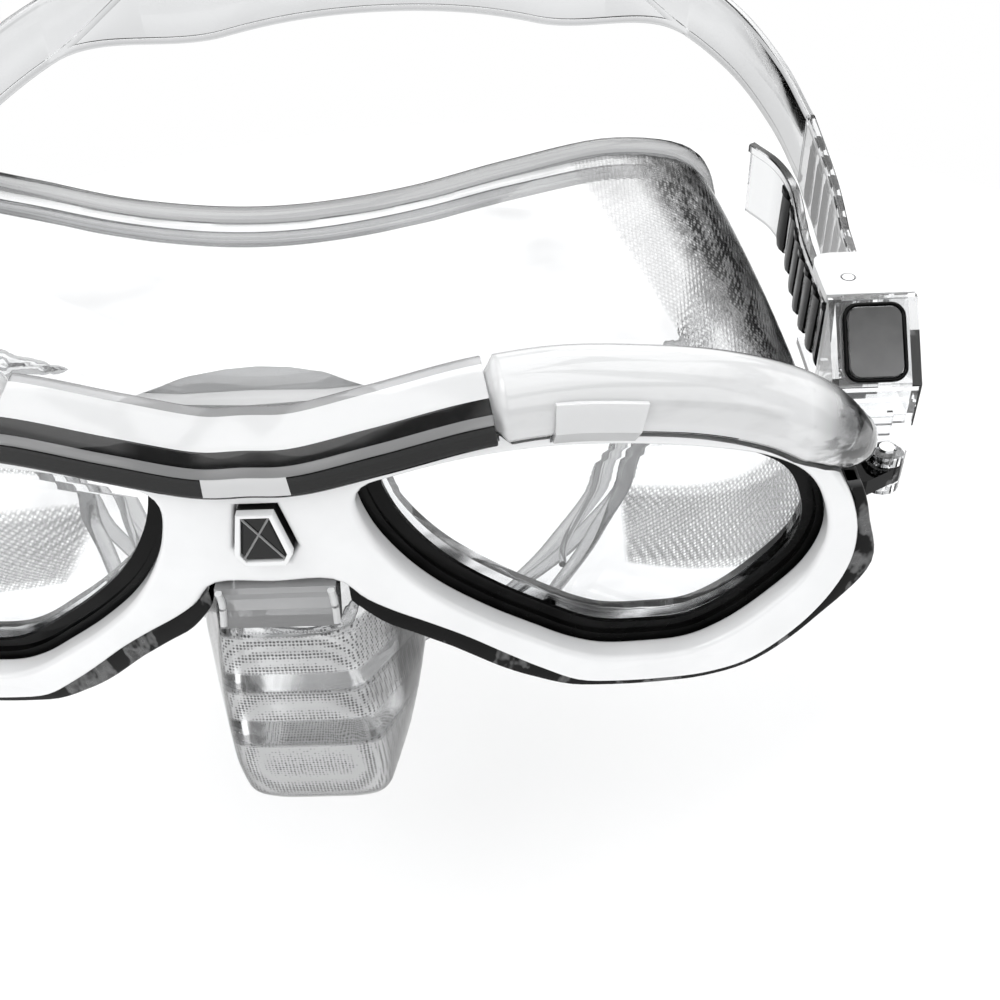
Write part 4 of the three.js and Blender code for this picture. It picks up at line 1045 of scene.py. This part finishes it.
def strap_block(frames, start, end, low, high, top, round_low=0.0):
    """A raised block on the strap between two lengths and two heights, with a rounded lower end."""
    centre, out, knots = frames
    base = RIB["base"]
    rows = [(0, base), (0.0, top - 0.25), (0.22, top), (0.78, top), (1.0, top - 0.25), (1.0, base)]
    if round_low:
        turns = np.linspace(0.25, math.pi / 2, 5)
        rounding = [(low + round_low * (1 - math.cos(t)), 1 - 0.55 * (1 - math.sin(t))) for t in turns]
        levels = [(low, 0.9), *rounding, (high, 1.0)]
    else:
        levels = [(low, 0.96), (low + 0.2, 1.0), (high - 0.2, 1.0), (high, 0.96)]
    middle = (start + end) / 2
    rings = []
    for z, width in levels:
        ring = []
        for share, height in rows:
            at = middle + (start + (end - start) * share - middle) * width
            c = np.array([np.interp(at, knots, centre[:, k]) for k in range(3)])
            o = np.array([np.interp(at, knots, out[:, k]) for k in range(3)])
            shrink = 0.25 if z in (levels[0][0], levels[-1][0]) and height > base else 0
            ring.append(c + o * (height - shrink) + np.array([0, 0, z]))
        rings.append(ring)
    return loft(rings)


def ribbed_strap(name, frames, first, last):
    """Web, side rail, ribs and teeth along one stretch of strap, as one object."""
    half = STRAP_HALF
    web = [(-0.75, -half + 0.3), (-0.45, -half), (-0.1, -half), (0.15, -half + 0.3), (0.15, half - 1.6),
           (0.8, half - 1.4), (0.8, half - 0.2), (0.6, half), (-0.55, half), (-0.75, half - 0.2)]
    band = strap_band(name, frames, web)
    band.data.materials.append(MATERIALS["strap"])
    band.data.materials.append(MATERIALS["ribs"])
    at = first + RIB["offset"]
    while at + RIB["length"] < last:
        end = at + RIB["length"]
        rib = strap_block(frames, at, end, -half + 0.2, half - 3.2, RIB["low_top"], round_low=1.6)
        merge(band, build("rib", *rib), 1)
        start, end = at + RIB["inset"], end - RIB["inset"]
        tooth = strap_block(frames, start, end, half - 3.0, half - 1.7, RIB["high_top"])
        merge(band, build("tooth", *tooth), 1)
        at += RIB["pitch"]
    smooth(band, 40)
    return band


def make_straps():
    """The strap's tail round each roller, its run to the temple, and the rear strap."""
    turn = STRAP_THICK / 2 + ROLLER["radius"] + GAP
    angles = [math.pi + math.pi * i / 8 for i in range(9)]
    loop = [(ROLLER["x"] + turn * math.cos(a), ROLLER["y"] + turn * math.sin(a)) for a in angles]
    end_route = TAIL + loop + [(87.7, -10), (87.72, -6)]
    end_frames = strap_frames(end_route, 220)
    side_frames = strap_frames(SIDE_RUN, 120)
    end_length, side_length = end_frames[2][-1], side_frames[2][-1]
    count = int((end_length - TAB_LENGTH) // RIB["pitch"])
    end_first = end_length - count * RIB["pitch"]
    for name, side in SIDES:
        end = ribbed_strap(f"strap_tail_{name}", end_frames, end_first, end_length + 0.1)
        run = ribbed_strap(f"strap_run_{name}", side_frames, 0.0, side_length)
        for piece in (end, run):
            if side < 0:
                piece.data.transform(Matrix.Scale(-1, 4, (1, 0, 0)))
                piece.data.flip_normals()
        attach(end, f"buckle_{name}")
        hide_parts(f"strap_end_{name}")
        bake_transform(run)
        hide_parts(f"strap_side_{name}")
    make_rear_strap()


def make_rear_strap():
    """The rear strap, which splits into an upper and a lower band behind the head."""
    route = REAR_HALF + [(-x, y) for x, y in reversed(REAR_HALF[:-1])]
    half = STRAP_HALF
    lower = [(-0.55, -half), (0.55, -half), (0.8, -half + 0.4), (0.8, -half + 1.3), (0.35, -half + 1.7)]
    upper = [(a, -b) for a, b in reversed(lower)]
    section = lower + upper + [(-0.8, half - 0.4), (-0.8, -half + 0.4)]
    bands = []
    for side in (1, -1):
        def lift(share, side=side):
            return side * REAR_SPREAD * smoothstep(0.5 - abs(share - 0.5), 0.2, 0.36)

        bands.append(strap_band("strap_back", strap_frames(route, 260, lift), section))
    boolean(bands[0], bands[1], "UNION")
    smooth(bands[0], 40)
    dress(bands[0], "strap", ["strap_rear"])


def make_button_frames():
    """The thin black frame round each release button, on the slope of its housing."""
    corner = BUTTON_FRAME["corner"]
    half, long = (BUTTON[key] + BUTTON_FRAME["margin"] - corner for key in ("half", "long"))
    turns = np.linspace(0, math.pi / 2, 7)
    outline = []
    for quarter, (a, b) in enumerate(((1, 1), (-1, 1), (-1, -1), (1, -1))):
        for turn in turns + quarter * math.pi / 2:
            outline.append((a * half + corner * math.cos(turn), b * long + corner * math.sin(turn)))
    up_slope = np.array([0, 1, 1]) / math.sqrt(2)
    outward = np.array([0, -1, 1]) / math.sqrt(2)
    for name, side in SIDES:
        middle = np.array([side * BUTTON["x"], BUTTON["y"], BUTTON["z"]]) + outward * BUTTON_FRAME["lift"]
        route = [middle + np.array([u, 0, 0]) + up_slope * v for u, v in outline]
        ring = build(f"button_frame_{name}", *tube(route, BUTTON_FRAME["radius"], 10, closed=True))
        dress(ring, "rubber", body=f"buckle_{name}")


def make_springs():
    """The coil behind each release button."""
    turns = np.linspace(0, 2 * math.pi * SPRING["turns"], 130)
    along = np.linspace(SPRING["front"], SPRING["back"], len(turns))
    coil = np.stack([SPRING["x"] + np.cos(turns), along, SPRING["z"] + np.sin(turns)], 1)
    for name, side in SIDES:
        spring = build(f"spring_coil_{name}", *tube(coil * (side, 1, 1), SPRING["wire"], 8))
        spring.data.materials.append(MATERIALS["steel"])
        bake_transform(spring)
        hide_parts(f"button_spring_{name}")


# ---------------- nodes that keep their CAD shape
# The finish of each node, and the width of the rounding along its edges.
CAD_FINISH = {
    "frame_chassis": ("chassis", 0.3), "bridge_latch": ("smoke", 0.2), "bridge_tongue": ("haze", 0.35),
    "rail_clip": ("milky", 0.12), "buckle_body": ("clear", 0.35), "buckle_cover": ("milky", 0.3),
    "release_button": ("button", 0.3), "locking_pawl": ("grey", 0), "pawl_pin": ("steel", 0),
    "strap_roller": ("clear", 0), "roller_axle": ("steel", 0), "swivel_pin": ("steel", 0)}


def finish_cad_nodes():
    for name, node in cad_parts.items():
        base = name.removesuffix("_left").removesuffix("_right")
        if base not in CAD_FINISH:
            continue
        finish, width = CAD_FINISH[base]
        node.data.materials.clear()
        node.data.materials.append(MATERIALS[finish])
        smooth(node, 30)
        if width:
            add_bevel(node, width, 3, 30)


# ---------------- making
make_camera()
make_floor()
make_world()
make_lights()
make_rail()
make_bezel()
make_eyes()
make_chassis_rim()
make_bridge_details()
make_skirt()
make_seams()
make_straps()
make_button_frames()
make_springs()
finish_cad_nodes()

scene = bpy.context.scene
scene.view_settings.view_transform = "Standard"
scene.view_settings.look = "None"
